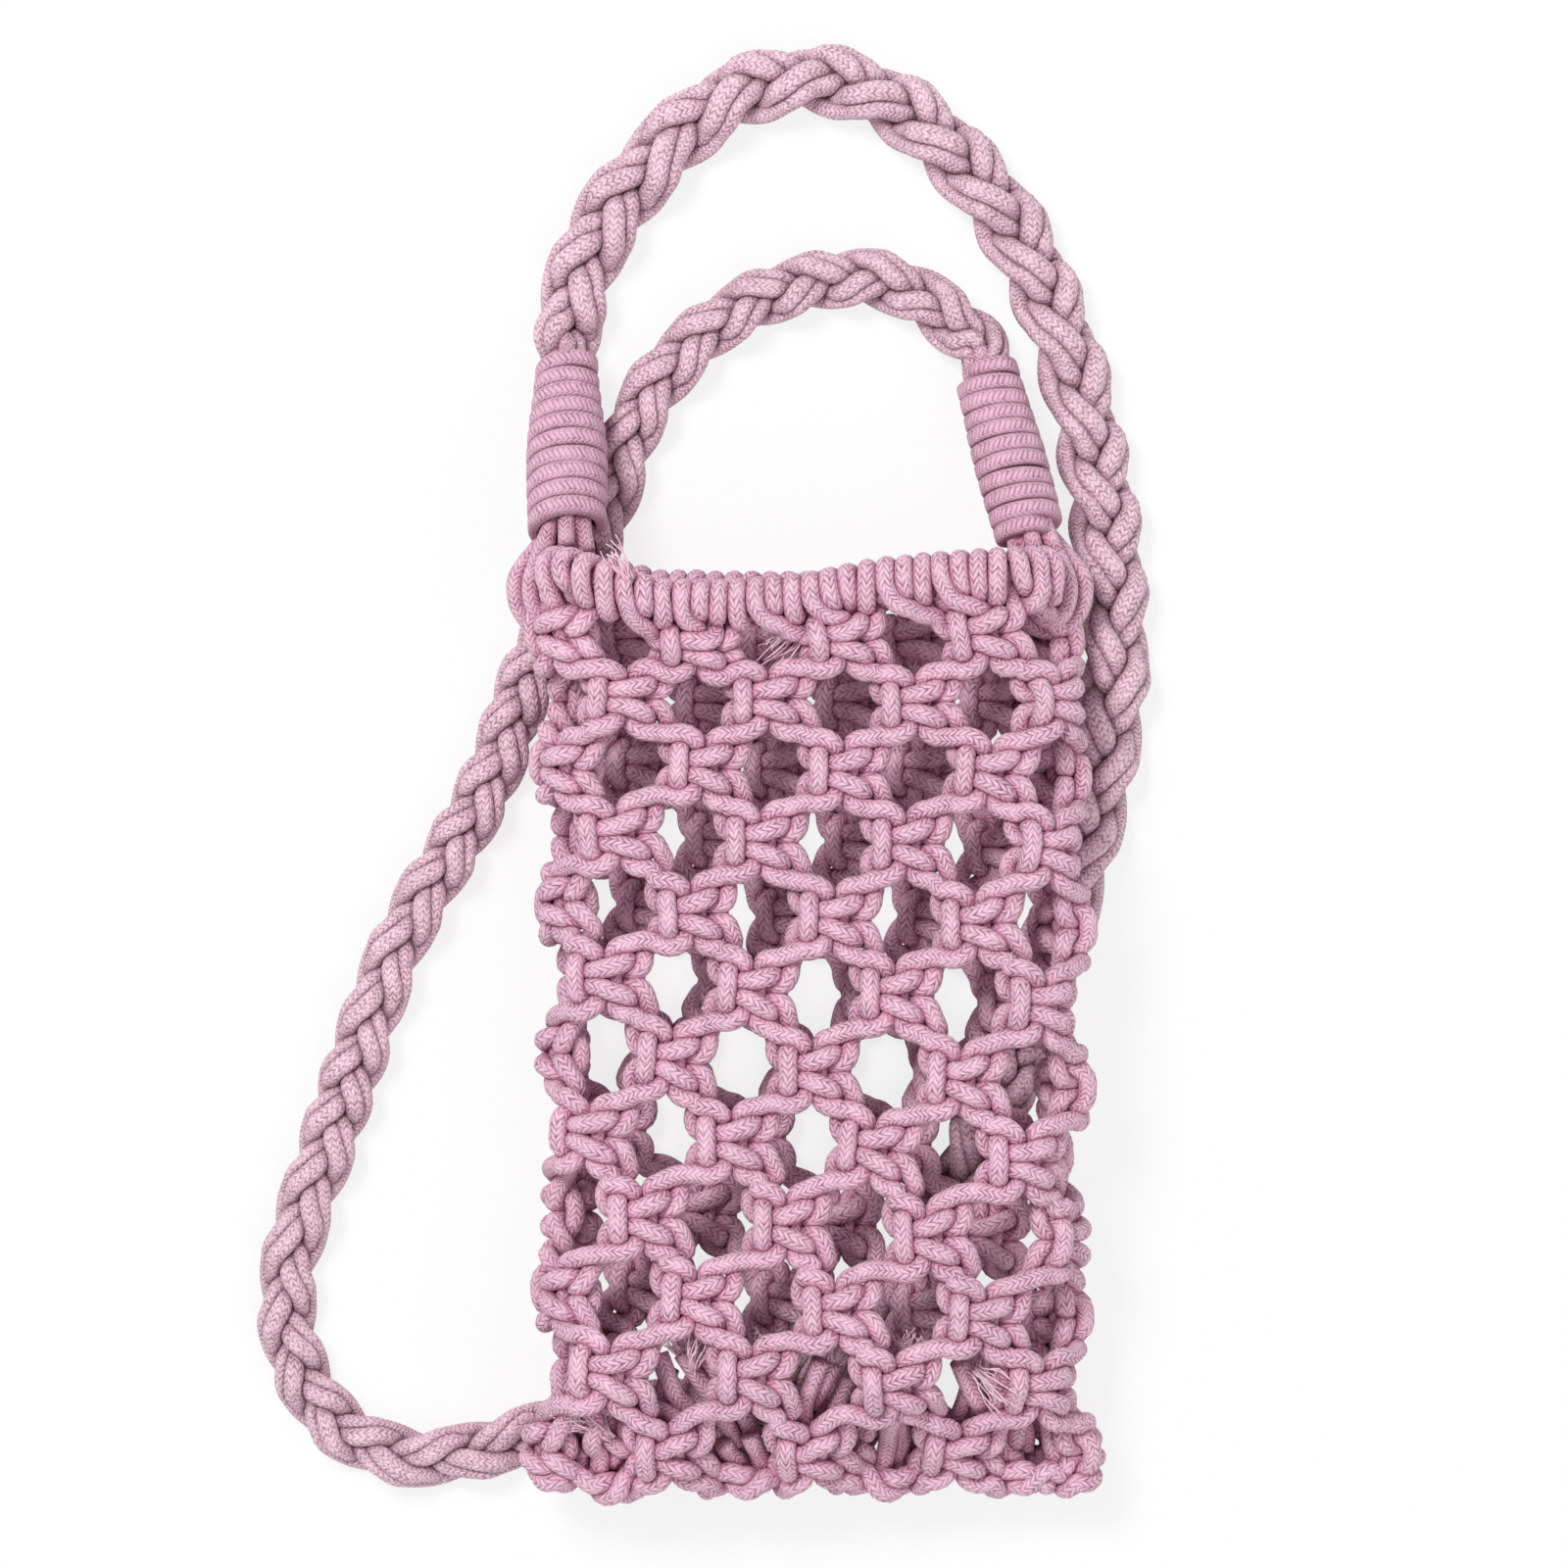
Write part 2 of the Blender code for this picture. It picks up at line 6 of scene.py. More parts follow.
import bpy
import numpy as np
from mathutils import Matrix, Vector
from mathutils.kdtree import KDTree


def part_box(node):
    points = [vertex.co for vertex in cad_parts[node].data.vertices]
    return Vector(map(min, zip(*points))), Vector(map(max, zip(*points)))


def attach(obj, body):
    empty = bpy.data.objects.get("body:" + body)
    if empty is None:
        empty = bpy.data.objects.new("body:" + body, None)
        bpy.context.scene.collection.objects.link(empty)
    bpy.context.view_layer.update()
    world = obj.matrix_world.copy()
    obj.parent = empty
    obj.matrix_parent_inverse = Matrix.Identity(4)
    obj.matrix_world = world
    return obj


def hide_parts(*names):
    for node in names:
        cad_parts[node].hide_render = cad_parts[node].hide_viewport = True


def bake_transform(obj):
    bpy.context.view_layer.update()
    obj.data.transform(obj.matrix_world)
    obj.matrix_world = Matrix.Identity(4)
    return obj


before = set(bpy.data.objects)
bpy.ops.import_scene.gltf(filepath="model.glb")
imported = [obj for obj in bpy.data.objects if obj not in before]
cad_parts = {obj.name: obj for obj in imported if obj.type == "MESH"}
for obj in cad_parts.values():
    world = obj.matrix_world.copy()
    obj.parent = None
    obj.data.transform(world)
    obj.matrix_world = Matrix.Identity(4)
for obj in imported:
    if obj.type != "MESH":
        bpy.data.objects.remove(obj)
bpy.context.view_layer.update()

MM = 0.001
SEED = 7

# The bag's own frame, in millimetres: x across, y towards the mouth from the rim ring,
# z up from the surface that it lies on. The rim is pulled to the left of the net.
RIM_SHIFT = 2.6
RING_LOW, RING_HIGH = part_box("rim_ring")
SHIFT = (np.array(RING_LOW) + np.array(RING_HIGH)) / 2 / MM
SHIFT[0] += RIM_SHIFT
SHIFT[2] = 0.0

# Net
ROUND_IT = 232.0
KNOT_PITCH = 29.0
KNOTS_ROUND = 8
NET_LENGTH = 187.0
ROW_SHARES = (0.055, 0.120, 0.195, 0.275, 0.355, 0.435, 0.521, 0.601, 0.692, 0.778, 0.852, 0.938)
ROW_TURNS = (7.0, 6.2, 6.4, 4.5, 4.2, 1.8, 0.6, -1.6, -5.5, -9.0, -11.8, -14.2)
ROW_TILT = 0.06
TILT_STARTS = 2.0
TILT_ENDS = 4.0
CORD_RADIUS = 1.88
CORD_SIDES = 14
CORD_STEP = 0.95
RIM_HALF_GAP = 12.5
NET_HALF_GAP = 12.0
BASE_HALF_GAP = 5.2
RIM_BLEND = 20.0
BASE_BLEND = 34.0
RIM_THICKNESS = 5.65
NET_THICKNESS = 3.9
PRESSED_FLAT = 0.35
BACK_FLATTENING = 0.72
KNOT_SPINS = (-0.10, 0.10)
KNOT_NUDGES = (-0.55, 0.55)
KNOT_SIZES = (0.95, 1.05)

# Rim
BARS_ON_SIDE = 28
FIRST_BAR = 7.4
BAR_PITCH = 3.75
CORDS_ON_SIDE = 8
CORDS = 2 * CORDS_ON_SIDE
BARS_OF_CORDS = (4, 3)
BAR_RISE = 3.5
BAR_DROP = 2.6
LONG_BAR_EXTRA = 2.2
BAR_HALF_DEPTH = 3.5
BAR_BOXINESS = 0.8
BAR_STEPS = 14
CROSSING_FROM = 0.35 * math.pi
CROSSING_OVER = 0.8 * math.pi
BAR_LEANS = 0.28
BAR_EXTRAS = (-0.5, 0.9)
BAR_BULGES = (-0.25, 0.3)
RING_RADIUS = 1.9
RING_POINTS = 121
WAVE_REACH = 18.0
RIM_WAVE_X = (-60.0, -50.0, -42.0, -32.0, -18.0, 0.0, 12.0, 25.0, 45.0, 60.0)
RIM_WAVE_FRONT = (3.8, 3.5, 0.6, -3.2, -3.3, -1.5, 1.1, 2.4, 3.8, 3.8)
RIM_WAVE_BACK = (3.6, 3.2, 1.8, -0.6, -0.9, -0.9, 0.4, 1.6, 3.0, 3.6)

# Cord ends inside the base: for each tuft its cords, as points across, along and out of
# the middle as a share of the half gap, and how far each one's yarns reach
BASE_TAILS = (
    (
        (((-52.0, -170.4, 0.2), (-46.0, -166.0, 0.35), (-36.0, -165.0, 0.4), (-27.0, -167.6, 0.3)), 0.0),
        (((-28.0, -175.6, 0.2), (-36.0, -174.6, 0.4), (-43.0, -171.6, 0.4), (-47.0, -168.6, 0.45)), 6.0),
        (((-41.0, -177.0, 0.0), (-37.0, -170.0, 0.1), (-39.0, -160.0, 0.1)), 0.0),
    ),
    (
        (((-16.0, -174.0, 0.1), (-20.0, -165.0, 0.3), (-26.6, -154.6, 0.4)), 4.0),
        (((-12.0, -172.0, 0.1), (-16.5, -163.0, 0.3), (-22.6, -154.4, 0.45)), 5.0),
        (((-30.0, -174.0, 0.0), (-31.0, -165.0, 0.0), (-29.0, -158.0, 0.1)), 0.0),
    ),
    (
        (((-5.0, -172.0, 0.0), (-7.0, -164.0, 0.2), (-10.5, -155.4, 0.3)), 4.0),
        (((-4.0, -170.0, 0.3), (0.0, -163.0, 0.4), (4.0, -156.4, 0.4)), 4.5),
        (((6.0, -176.0, 0.0), (4.0, -168.0, 0.1), (7.0, -160.0, 0.1)), 0.0),
    ),
    (
        (((14.0, -172.0, 0.0), (17.0, -163.0, 0.2), (18.4, -154.6, 0.4)), 3.6),
        (((8.0, -177.0, 0.2), (12.0, -169.0, 0.3), (15.0, -161.0, 0.2)), 0.0),
        (((23.0, -170.0, 0.0), (22.0, -161.0, 0.1), (20.5, -155.4, 0.3)), 3.0),
    ),
    (
        (((25.0, -177.0, 0.2), (29.0, -169.0, 0.4), (32.0, -161.6, 0.5)), 6.0),
        (((44.0, -176.0, 0.1), (42.0, -167.0, 0.2), (36.5, -159.6, 0.4)), 5.0),
        (((34.0, -177.0, 0.0), (36.0, -169.0, 0.1), (41.0, -162.0, 0.1)), 0.0),
    ),
)
TAIL_SLIMNESS = 0.94

# Loose yarns that show at the base: root, heading, reach and the tuft that they belong to
BASE_YARNS = (
    ((33.0, -158.6, 1.15), (0.55, -0.6, 0.1), 9.0, 5),
    ((36.0, -160.6, 1.1), (0.3, 0.8, 0.1), 6.0, 5),
    ((-42.0, -171.0, 0.7), (-0.75, 0.6, 0.1), 9.0, 1),
    ((-46.5, -164.0, 0.2), (0.1, 0.95, 0.0), 6.0, 1),
    ((-24.0, -156.0, 0.7), (0.2, 0.9, 0.2), 6.0, 2),
)
# Loose yarns at the rim: name, root on the net, heading, reach, spread and number
RIM_YARNS = (
    ("rim_yarns_left", (23.0, 3.6, 3.4), (-0.5, 0.84, 0.2), 7.0, 1.5, 18),
    ("rim_yarns_inside", (59.0, -5.0, -2.0), (-0.75, -0.64, 0.05), 11.0, 1.9, 30),
)
# Spread and number of the yarns at a tail's cut end and at a loose root
TAIL_YARNS = (1.5, 34)
ROOT_YARNS = (1.8, 22)
YARN_REACHES = (0.6, 1.1)
YARN_RADII = (0.1, 0.16)
YARN_SIDES = 5

# Strap: its route's points across and along, and the share of STRAP_LIFT that it lifts
# the net by there
STRAP_ROUTE = (
    (-51.4, 52.6, 0.0),
    (-46.8, 66.4, 0.0),
    (-40.1, 78.5, 0.0),
    (-28.3, 91.6, 0.0),
    (-14.2, 101.6, 0.0),
    (1.9, 103.8, 0.0),
    (16.3, 99.2, 0.0),
    (28.1, 89.4, 0.0),
    (39.3, 75.9, 0.0),
    (48.4, 58.5, 0.0),
    (54.2, 41.5, 0.0),
    (58.5, 24.0, 0.0),
    (61.2, 6.4, 0.0),
    (62.2, -11.3, 0.3),
    (60.6, -28.8, 0.6),
    (57.0, -46.4, 0.9),
    (52.0, -63.6, 1.0),
    (47.6, -77.6, 1.0),
    (42.6, -91.4, 1.0),
    (37.2, -105.4, 1.0),
    (32.0, -119.4, 1.0),
    (26.4, -133.4, 1.0),
    (18.6, -146.8, 1.0),
    (7.6, -157.6, 1.0),
    (-6.0, -165.4, 1.0),
    (-26.0, -167.6, 1.0),
    (-44.0, -170.0, 1.0),
    (-59.6, -173.6, 0.8),
    (-73.5, -177.4, 0.2),
    (-87.6, -177.0, 0.0),
    (-99.4, -170.0, 0.0),
    (-106.4, -158.0, 0.0),
    (-108.4, -143.4, 0.0),
    (-105.8, -129.6, 0.0),
    (-100.8, -116.4, 0.0),
    (-95.6, -100.8, 0.0),
    (-89.8, -82.9, 0.0),
    (-82.6, -67.3, 0.0),
    (-73.9, -52.4, 0.0),
    (-66.2, -37.6, 0.3),
    (-60.2, -21.2, 1.0),
    (-54.4, -9.0, 1.0),
    (-48.0, 3.8, 1.0),
    (-42.6, 17.4, 0.8),
    (-38.2, 31.0, 0.2),
    (-31.6, 42.6, 0.0),
    (-22.6, 51.6, 0.0),
    (-12.2, 58.2, 0.0),
    (0.2, 62.4, 0.0),
    (13.6, 62.6, 0.0),
    (24.6, 57.6, 0.0),
    (32.0, 48.6, 0.0),
)
ROUTE_STEP = 2.0
ARC_RAISE = 1.7
ARC_FROM = 20.0
ARC_OVER = 30.0
STRAP_MEETING = (-6.0, -165.4)
STRAP_LIFT = 10.0
DRAPE_REACH = 22.0
DRAPE_EVERY = 4
LIFT_STEP = 2.0
STRAND_ROLL = 0.6
STRAND_DEPTH = 1.2
STRAND_LEAN = 0.35
SWING_SHARPNESS = 0.07
PLAIT_ROLL = 0.5
ROLL_IN = (30.0, 50.0)
ROLL_OUT = (190.0, 60.0)
PLAIT_STEP = 1.0
PLAIT_TIGHTENS = 6.0
STRAP_HEIGHT = 4.5
INSIDE_WINDING = 6.0

# Strap ends: lower and upper end of each winding
LEFT_LOW = (-50.0, 11.8)
LEFT_HIGH = (-50.6, 48.6)
RIGHT_LOW = (44.2, 11.4)
RIGHT_HIGH = (35.1, 46.4)
END_DROP = 1.6
END_REST_HEIGHT = 7.0
TIP_BEYOND = 1.9
TIP_STRAIGHT = 5.0

# Windings: each one's lower and upper radius, then what both share
LEFT_WINDING = (7.1, 5.2)
RIGHT_WINDING = (6.3, 5.5)
WINDING_TURNS = 10.4
WINDING_STEPS = 30
WINDING_START = -0.01
WINDING_SHARE = 0.975
WINDING_SLACK = 0.35
WINDING_TUCK = 2.4
WOUND_SIDES = 28
WOUND_BOXINESS = (0.45, 0.6)
WOUND_HALF_WIDTH = 0.515
WOUND_HALF_DEPTH = 1.25

# Hook loops: half width, half height and level, then the cord's radius
INNER_LOOP = (3.8, 6.2, 1)
OUTER_LOOP = (7.0, 8.2, -1)
INNER_LOOP_RADIUS = 1.8
OUTER_LOOP_RADIUS = 1.85
LOOP_DEGREES = range(160, 381, 22)

# Cords gathered inside a winding, and how far from its axis they lie at its five points
BUNDLE_CORDS = 6
BUNDLE_RADIUS = 1.7
BUNDLE_SIDES = 12
BUNDLE_STEP = 2.0
BUNDLE_SPREAD = (4.8, 4.0, 3.2, 2.6, 2.6)

# Settling: how near to touching cords end up, and the shares of being pushed apart,
# smoothed and drawn home in each round. Then how cords press each other flat.
SETTLED_SHARE = 0.9
PUSH_SHARE = 0.9
SMOOTH_SHARE = 0.12
HOME_SHARE = 0.03
NET_ROUNDS = 24
PLAIT_ROUNDS = 16
NEIGHBOUR_REACH = 2.6
PRESS_REACH = 2.4
LEAST_FACING = 0.25
FREE_REACH = 3.0
LEAST_PRESSED = 0.5
SWELLING = 1.04
MOST_SWOLLEN = 1.26

# Unevenness: by how much, and over how many points
CORD_WAVER = (0.018, 6)
WRAP_WAVER = (0.004, 9)
PACE_WAVER = (0.13, 18)
LEAN_WAVER = (0.5, 40)
WIDTH_WAVER = (0.1, 16)

SPLINE_STEPS = 16


def smooth(share):
    share = np.clip(share, 0.0, 1.0)
    return share * share * (3.0 - 2.0 * share)


def distances(line):
    """How far along a line each of its points lies."""
    steps = np.linalg.norm(np.diff(line, axis=0), axis=1)
    return np.concatenate([[0.0], np.cumsum(steps)])


def spline(points, spacing):
    """Points about a given distance apart on a smooth curve through the given ones."""
    points = np.asarray(points, float)
    ends = np.vstack([2 * points[0] - points[1], points, 2 * points[-1] - points[-2]])
    t = np.linspace(0.0, 1.0, SPLINE_STEPS, endpoint=False)[:, None]
    fine = []
    for before, start, end, after in zip(ends, ends[1:], ends[2:], ends[3:]):
        steps = ((before, start), (start, end), (end, after))
        first, second, third = np.sqrt([np.linalg.norm(b - a) + 1e-9 for a, b in steps])
        turn = (end - start) / second
        leave = (start - before) / first - (end - before) / (first + second) + turn
        arrive = turn - (after - start) / (second + third) + (after - end) / third
        leave = leave * second
        arrive = arrive * second
        fine.append(
            (2 * t**3 - 3 * t**2 + 1) * start
            + (t**3 - 2 * t**2 + t) * leave
            + (3 * t**2 - 2 * t**3) * end
            + (t**3 - t**2) * arrive
        )
    fine = np.vstack([*fine, points[-1:]])
    lengths = distances(fine[:, :3])
    count = max(3, round(lengths[-1] / spacing))
    places = np.linspace(0.0, lengths[-1], count + 1)
    return np.stack([np.interp(places, lengths, column) for column in fine.T], axis=1)


# The tops of the arcs lie a little further up than the solids' route.
ROUTE = spline(STRAP_ROUTE, ROUTE_STEP)
ROUTE[:, 1] += ARC_RAISE * smooth((ROUTE[:, 1] - ARC_FROM) / ARC_OVER)


def lift_at(x, y):
    """How far the strap under the bag holds the net up."""
    place = np.stack([np.ravel(x), np.ravel(y)], axis=1)
    highest = np.zeros(len(place))
    for here in ROUTE[::DRAPE_EVERY]:
        away = np.linalg.norm(place - here[:2], axis=1) / DRAPE_REACH
        highest = np.maximum(highest, STRAP_LIFT * max(0.0, here[2]) * np.exp(-away * away))
    return highest.reshape(np.shape(x))


LIFT_X = np.arange(-70.0, 71.0, LIFT_STEP)
LIFT_Y = np.arange(-200.0, 31.0, LIFT_STEP)
LIFT = lift_at(*np.meshgrid(LIFT_X, LIFT_Y, indexing="ij"))


def lift(x, y):
    """The lift at any point, from its table."""
    i = np.clip((x - LIFT_X[0]) / LIFT_STEP, 0, len(LIFT_X) - 1.001)
    j = np.clip((y - LIFT_Y[0]) / LIFT_STEP, 0, len(LIFT_Y) - 1.001)
    a = i.astype(int)
    b = j.astype(int)
    i = i - a
    j = j - b
    low = LIFT[a, b] * (1 - i) + LIFT[a + 1, b] * i
    high = LIFT[a, b + 1] * (1 - i) + LIFT[a + 1, b + 1] * i
    return low * (1 - j) + high * j


def half_gap(along):
    gap = RIM_HALF_GAP + (NET_HALF_GAP - RIM_HALF_GAP) * smooth(-along / RIM_BLEND)
    closing = smooth((-along - NET_LENGTH + BASE_BLEND) / BASE_BLEND)
    return gap + (BASE_HALF_GAP - NET_HALF_GAP) * closing


def row_tilt(along):
    share = -along / NET_LENGTH
    return ROW_TILT * smooth(TILT_STARTS * share) * smooth(TILT_ENDS * (1.0 - share))


def on_net(turn, along, out):
    """Points on the flattened tube of the net: way round it, place along it, distance out."""
    turn = np.mod(np.asarray(turn, float), ROUND_IT)
    along = np.asarray(along, float)
    out = np.asarray(out, float)
    radius = half_gap(along)
    straight = (ROUND_IT - 2 * math.pi * radius) / 4
    quarter = math.pi * radius / 2
    second = turn - quarter - 2 * straight
    fourth = turn - 3 * quarter - 4 * straight
    stretches = [turn < quarter, second < 0, second < 2 * quarter, fourth < 0]
    right_angle = math.pi / 2
    angle = np.select(
        stretches,
        [math.pi - turn / radius, right_angle, right_angle - second / radius, -right_angle],
        -right_angle - fourth / radius,
    )
    centre = np.select(
        stretches,
        [-straight, -straight + turn - quarter, straight, straight - (second - 2 * quarter)],
        -straight,
    )
    flat = np.where((out > 0) & (np.sin(angle) < 0), BACK_FLATTENING, 1.0)
    reach = radius + out * flat
    from_rim = smooth(-along / RIM_BLEND)
    x = centre + np.cos(angle) * reach - RIM_SHIFT * (1 - from_rim)
    z = np.sin(angle) * reach
    thick = RIM_THICKNESS + (NET_THICKNESS - RIM_THICKNESS) * from_rim
    z = z + half_gap(along) + thick - PRESSED_FLAT + lift(x, along)
    front = (1 + np.sin(angle)) / 2
    wave = front * np.interp(x, RIM_WAVE_X, RIM_WAVE_FRONT)
    wave = wave + (1 - front) * np.interp(x, RIM_WAVE_X, RIM_WAVE_BACK)
    y = along - row_tilt(along) * x + wave * (1 - smooth(-along / WAVE_REACH))
    return np.stack([x, y, z], axis=-1)


# One square knot, in millimetres across, down and outwards from its middle: how each of
# its four legs comes in, crosses and leaves. It is drawn for rows TEMPLATE_DROP apart and
# stretches with its own rows, END_STRETCH above the first and below the last one.
TEMPLATE_DROP = 15.0
END_STRETCH = 0.8
MOST_STRETCH = 1.1
LEFT_WORKER = (
    (-6.4, -7.2, -0.6),
    (-7.2, -4.8, -0.3),
    (-6.8, -2.6, 0.0),
    (-5.0, -0.9, 0.8),
    (-2.8, -0.7, 2.6),
    (-0.6, -1.5, 3.4),
    (1.6, -2.7, 3.3),
    (3.4, -3.3, 2.2),
    (4.2, -2.7, 0.4),
    (3.9, -1.3, -1.2),
    (3.6, 0.0, -1.7),
    (3.9, 1.5, -1.2),
    (4.2, 3.0, 0.4),
    (3.3, 3.6, 2.2),
    (1.5, 2.9, 3.3),
    (-0.6, 1.8, 3.4),
    (-2.8, 0.9, 2.6),
    (-5.0, 1.0, 0.8),
    (-6.9, 2.4, -0.1),
    (-7.6, 4.4, -0.4),
    (-7.4, 6.8, -0.6),
)
RIGHT_WORKER = (
    (8.0, -7.4, -0.6),
    (7.0, -4.8, 0.4),
    (5.8, -2.8, 1.2),
    (4.4, -1.0, 0.9),
    (2.2, -1.2, -1.6),
    (-0.8, -2.0, -3.0),
    (-3.2, -3.2, -2.6),
    (-4.9, -4.1, -0.6),
    (-4.6, -3.7, 1.6),
    (-4.3, -2.2, 3.2),
    (-4.3, 0.0, 3.8),
    (-4.3, 2.2, 3.2),
    (-4.5, 3.8, 1.6),
    (-4.9, 4.3, -0.6),
    (-3.2, 3.2, -2.6),
    (-0.8, 2.0, -3.0),
    (2.2, 1.1, -1.6),
    (4.4, 0.9, 0.9),
    (6.0, 2.2, 1.3),
    (7.6, 4.2, 0.6),
    (8.8, 6.4, -0.4),
)
LEFT_FILLER = (
    (-7.4, -6.8, 2.5),
    (-4.6, -5.8, 3.0),
    (-2.6, -4.6, 2.2),
    (-1.6, -3.4, 0.8),
    (-1.6, -1.6, 0.0),
    (-1.6, 1.8, 0.0),
    (-1.2, 3.4, 1.2),
    (-2.0, 4.7, 2.6),
    (-4.8, 5.9, 3.1),
)
RIGHT_FILLER = (
    (6.6, -7.9, 2.5),
    (3.6, -6.5, 2.2),
    (1.8, -4.7, 1.6),
    (1.2, -3.2, 0.8),
    (1.6, -1.6, 0.0),
    (1.6, 1.8, 0.0),
    (1.2, 3.5, 1.1),
    (1.4, 5.0, 1.9),
    (3.2, 6.4, 2.2),
    (6.0, 7.6, 2.3),
)
# Each part in a knot, and how many of its points the first row leaves out
PARTS = {
    "L": (LEFT_WORKER, 2),
    "A": (LEFT_FILLER, 3),
    "B": (RIGHT_FILLER, 3),
    "R": (RIGHT_WORKER, 2),
}
# For each leg the knot that it is in at the staggered rows, and its part there
STAGGERED = {"L": (-1, "R"), "A": (-1, "B"), "B": (0, "A"), "R": (0, "L")}

chance = np.random.default_rng(SEED)
ROW_ALONG = [-NET_LENGTH * share for share in ROW_SHARES]
KNOT_SPIN = chance.uniform(*KNOT_SPINS, (len(ROW_SHARES), KNOTS_ROUND))
KNOT_NUDGE = chance.uniform(*KNOT_NUDGES, (len(ROW_SHARES), KNOTS_ROUND, 2))
KNOT_SIZE = chance.uniform(*KNOT_SIZES, (len(ROW_SHARES), KNOTS_ROUND))
BAR_LEAN = chance.normal(0.0, BAR_LEANS, (2, BARS_ON_SIDE))
BAR_EXTRA = chance.uniform(*BAR_EXTRAS, (2, BARS_ON_SIDE))
BAR_BULGE = chance.uniform(*BAR_BULGES, (2, BARS_ON_SIDE))


def knot_of(row, column, role):
    """The knot that a leg is in at a row, and the part that it plays there."""
    if row % 2 == 0:
        return column, role
    step, part = STAGGERED[role]
    return column + step, part


def placed(row, knot, points, above, below):
    """A knot's points as way round, place along and distance out."""
    points = np.asarray(points, float)
    turn = ROW_TURNS[row] + (knot + (row % 2) / 2) * KNOT_PITCH
    index = knot % KNOTS_ROUND
    spin = KNOT_SPIN[row, index]
    size = KNOT_SIZE[row, index]
    across = (points[:, 0] * math.cos(spin) - points[:, 1] * math.sin(spin)) * size
    down = points[:, 0] * math.sin(spin) + points[:, 1] * math.cos(spin)
    down = down * np.where(points[:, 1] < 0, above, below)
    nudge = KNOT_NUDGE[row, index]
    along = ROW_ALONG[row] - down + nudge[1]
    return np.stack([turn + across + nudge[0], along, points[:, 2]], axis=1)


def leg_path(column, role):
    """A leg's way down the net, as way round, place along and distance out."""
    path = []
    last = len(ROW_SHARES) - 1
    for row, along in enumerate(ROW_ALONG):
        knot, part = knot_of(row, column, role)
        above = (ROW_ALONG[row - 1] - along) / TEMPLATE_DROP if row else END_STRETCH
        below = (along - ROW_ALONG[row + 1]) / TEMPLATE_DROP if row < last else END_STRETCH
        points, left_out = PARTS[part]
        points = points if row else points[left_out:]
        path.append(placed(row, knot, points, min(above, MOST_STRETCH), min(below, MOST_STRETCH)))
    path.append(tail_path(column, part, path[-1][-1][0]))
    return np.vstack(path)


def tail_path(column, part, turn):
    """A leg's end below its last knot: along the base's edge, then up inside the pouch."""
    lots = np.random.default_rng(900 + 10 * column + list(PARTS).index(part))
    edge = -NET_LENGTH + 4.6 + lots.uniform(-0.9, 0.9)
    inside = -BASE_HALF_GAP + lots.uniform(-1.6, 2.4)
    if part in "LR":
        aside = (1 if part == "R" else -1) * lots.uniform(7.0, 14.0)
        points = [
            (turn + aside * 0.3, edge + 2.6, 1.0),
            (turn + aside * 0.6, edge + 0.6, 1.6),
            (turn + aside * 0.9, edge + lots.uniform(-0.5, 1.5), 0.6),
            (turn + aside, edge + 1.2, -2.4),
            (turn + aside * 0.9, edge + 4.4, inside),
        ]
    else:
        aside = (1 if part == "B" else -1) * lots.uniform(1.5, 5.0)
        points = [
            (turn + aside * 0.6, edge + 1.6, 1.2),
            (turn + aside * 0.9, edge - 0.2, -0.6),
            (turn + aside, edge + 1.0, inside * 0.7),
            (turn + aside, edge + 4.4, inside),
        ]
    length = lots.uniform(11.0, 24.0) if lots.random() < 0.6 else lots.uniform(2.0, 6.0)
    lean = lots.uniform(-0.55, 0.55)
    start = points[-1]
    for share in (0.35, 0.7, 1.0):
        bend = math.sin(share * 3.0) * lots.uniform(-1.2, 1.2)
        across = start[0] + lean * length * share + bend
        along = start[1] + length * share
        points.append((across, along, inside + lots.uniform(-0.8, 0.8)))
    return np.array(points)


def bar_turn(side, bar):
    return side * ROUND_IT / 2 + FIRST_BAR + bar * BAR_PITCH


def bars_of(cord):
    """The side of the rim that a doubled cord is hitched on, and its first and last bar."""
    side, place = divmod(cord, CORDS_ON_SIDE)
    first = (place // 2) * sum(BARS_OF_CORDS) + (place % 2) * BARS_OF_CORDS[0]
    return side, first, first + BARS_OF_CORDS[place % 2] - 1


def hitch_path(cord):
    """A doubled cord's turns round the rim ring: upright in front, crossing over inside."""
    side, first, last = bars_of(cord)
    points = []
    for bar in range(first, last + 1):
        turn = bar_turn(side, bar)
        drop = BAR_DROP + (LONG_BAR_EXTRA if (bar // 2) % 2 or bar in (first, last) else 0.0)
        start = 3 if bar == first else 0
        stop = BAR_STEPS - 2 if bar == last else BAR_STEPS
        for step in range(start, stop):
            angle = -0.5 * math.pi + 2 * math.pi * step / BAR_STEPS
            inside = smooth((angle - CROSSING_FROM) / CROSSING_OVER)
            up = math.sin(angle)
            up = up * BAR_RISE if up > 0 else up * (drop + BAR_EXTRA[side, bar])
            depth = math.cos(angle)
            boxy = math.copysign(abs(depth) ** BAR_BOXINESS, depth)
            out = boxy * (BAR_HALF_DEPTH + BAR_BULGE[side, bar])
            lean = BAR_LEAN[side, bar] * up / BAR_RISE
            across = BAR_PITCH * inside * (0 if bar == last else 1)
            points.append([turn + lean + across, up, out])
    return np.array(points)


def cord_path(cord):
    """A doubled cord: up its first leg, round the ring and down its second."""
    knot = (cord + 1) // 2
    first_role, second_role = ("L", "A") if cord % 2 else ("B", "R")
    up = leg_path(knot, first_role)[::-1]
    return np.vstack([up, hitch_path(cord), leg_path(knot, second_role)])


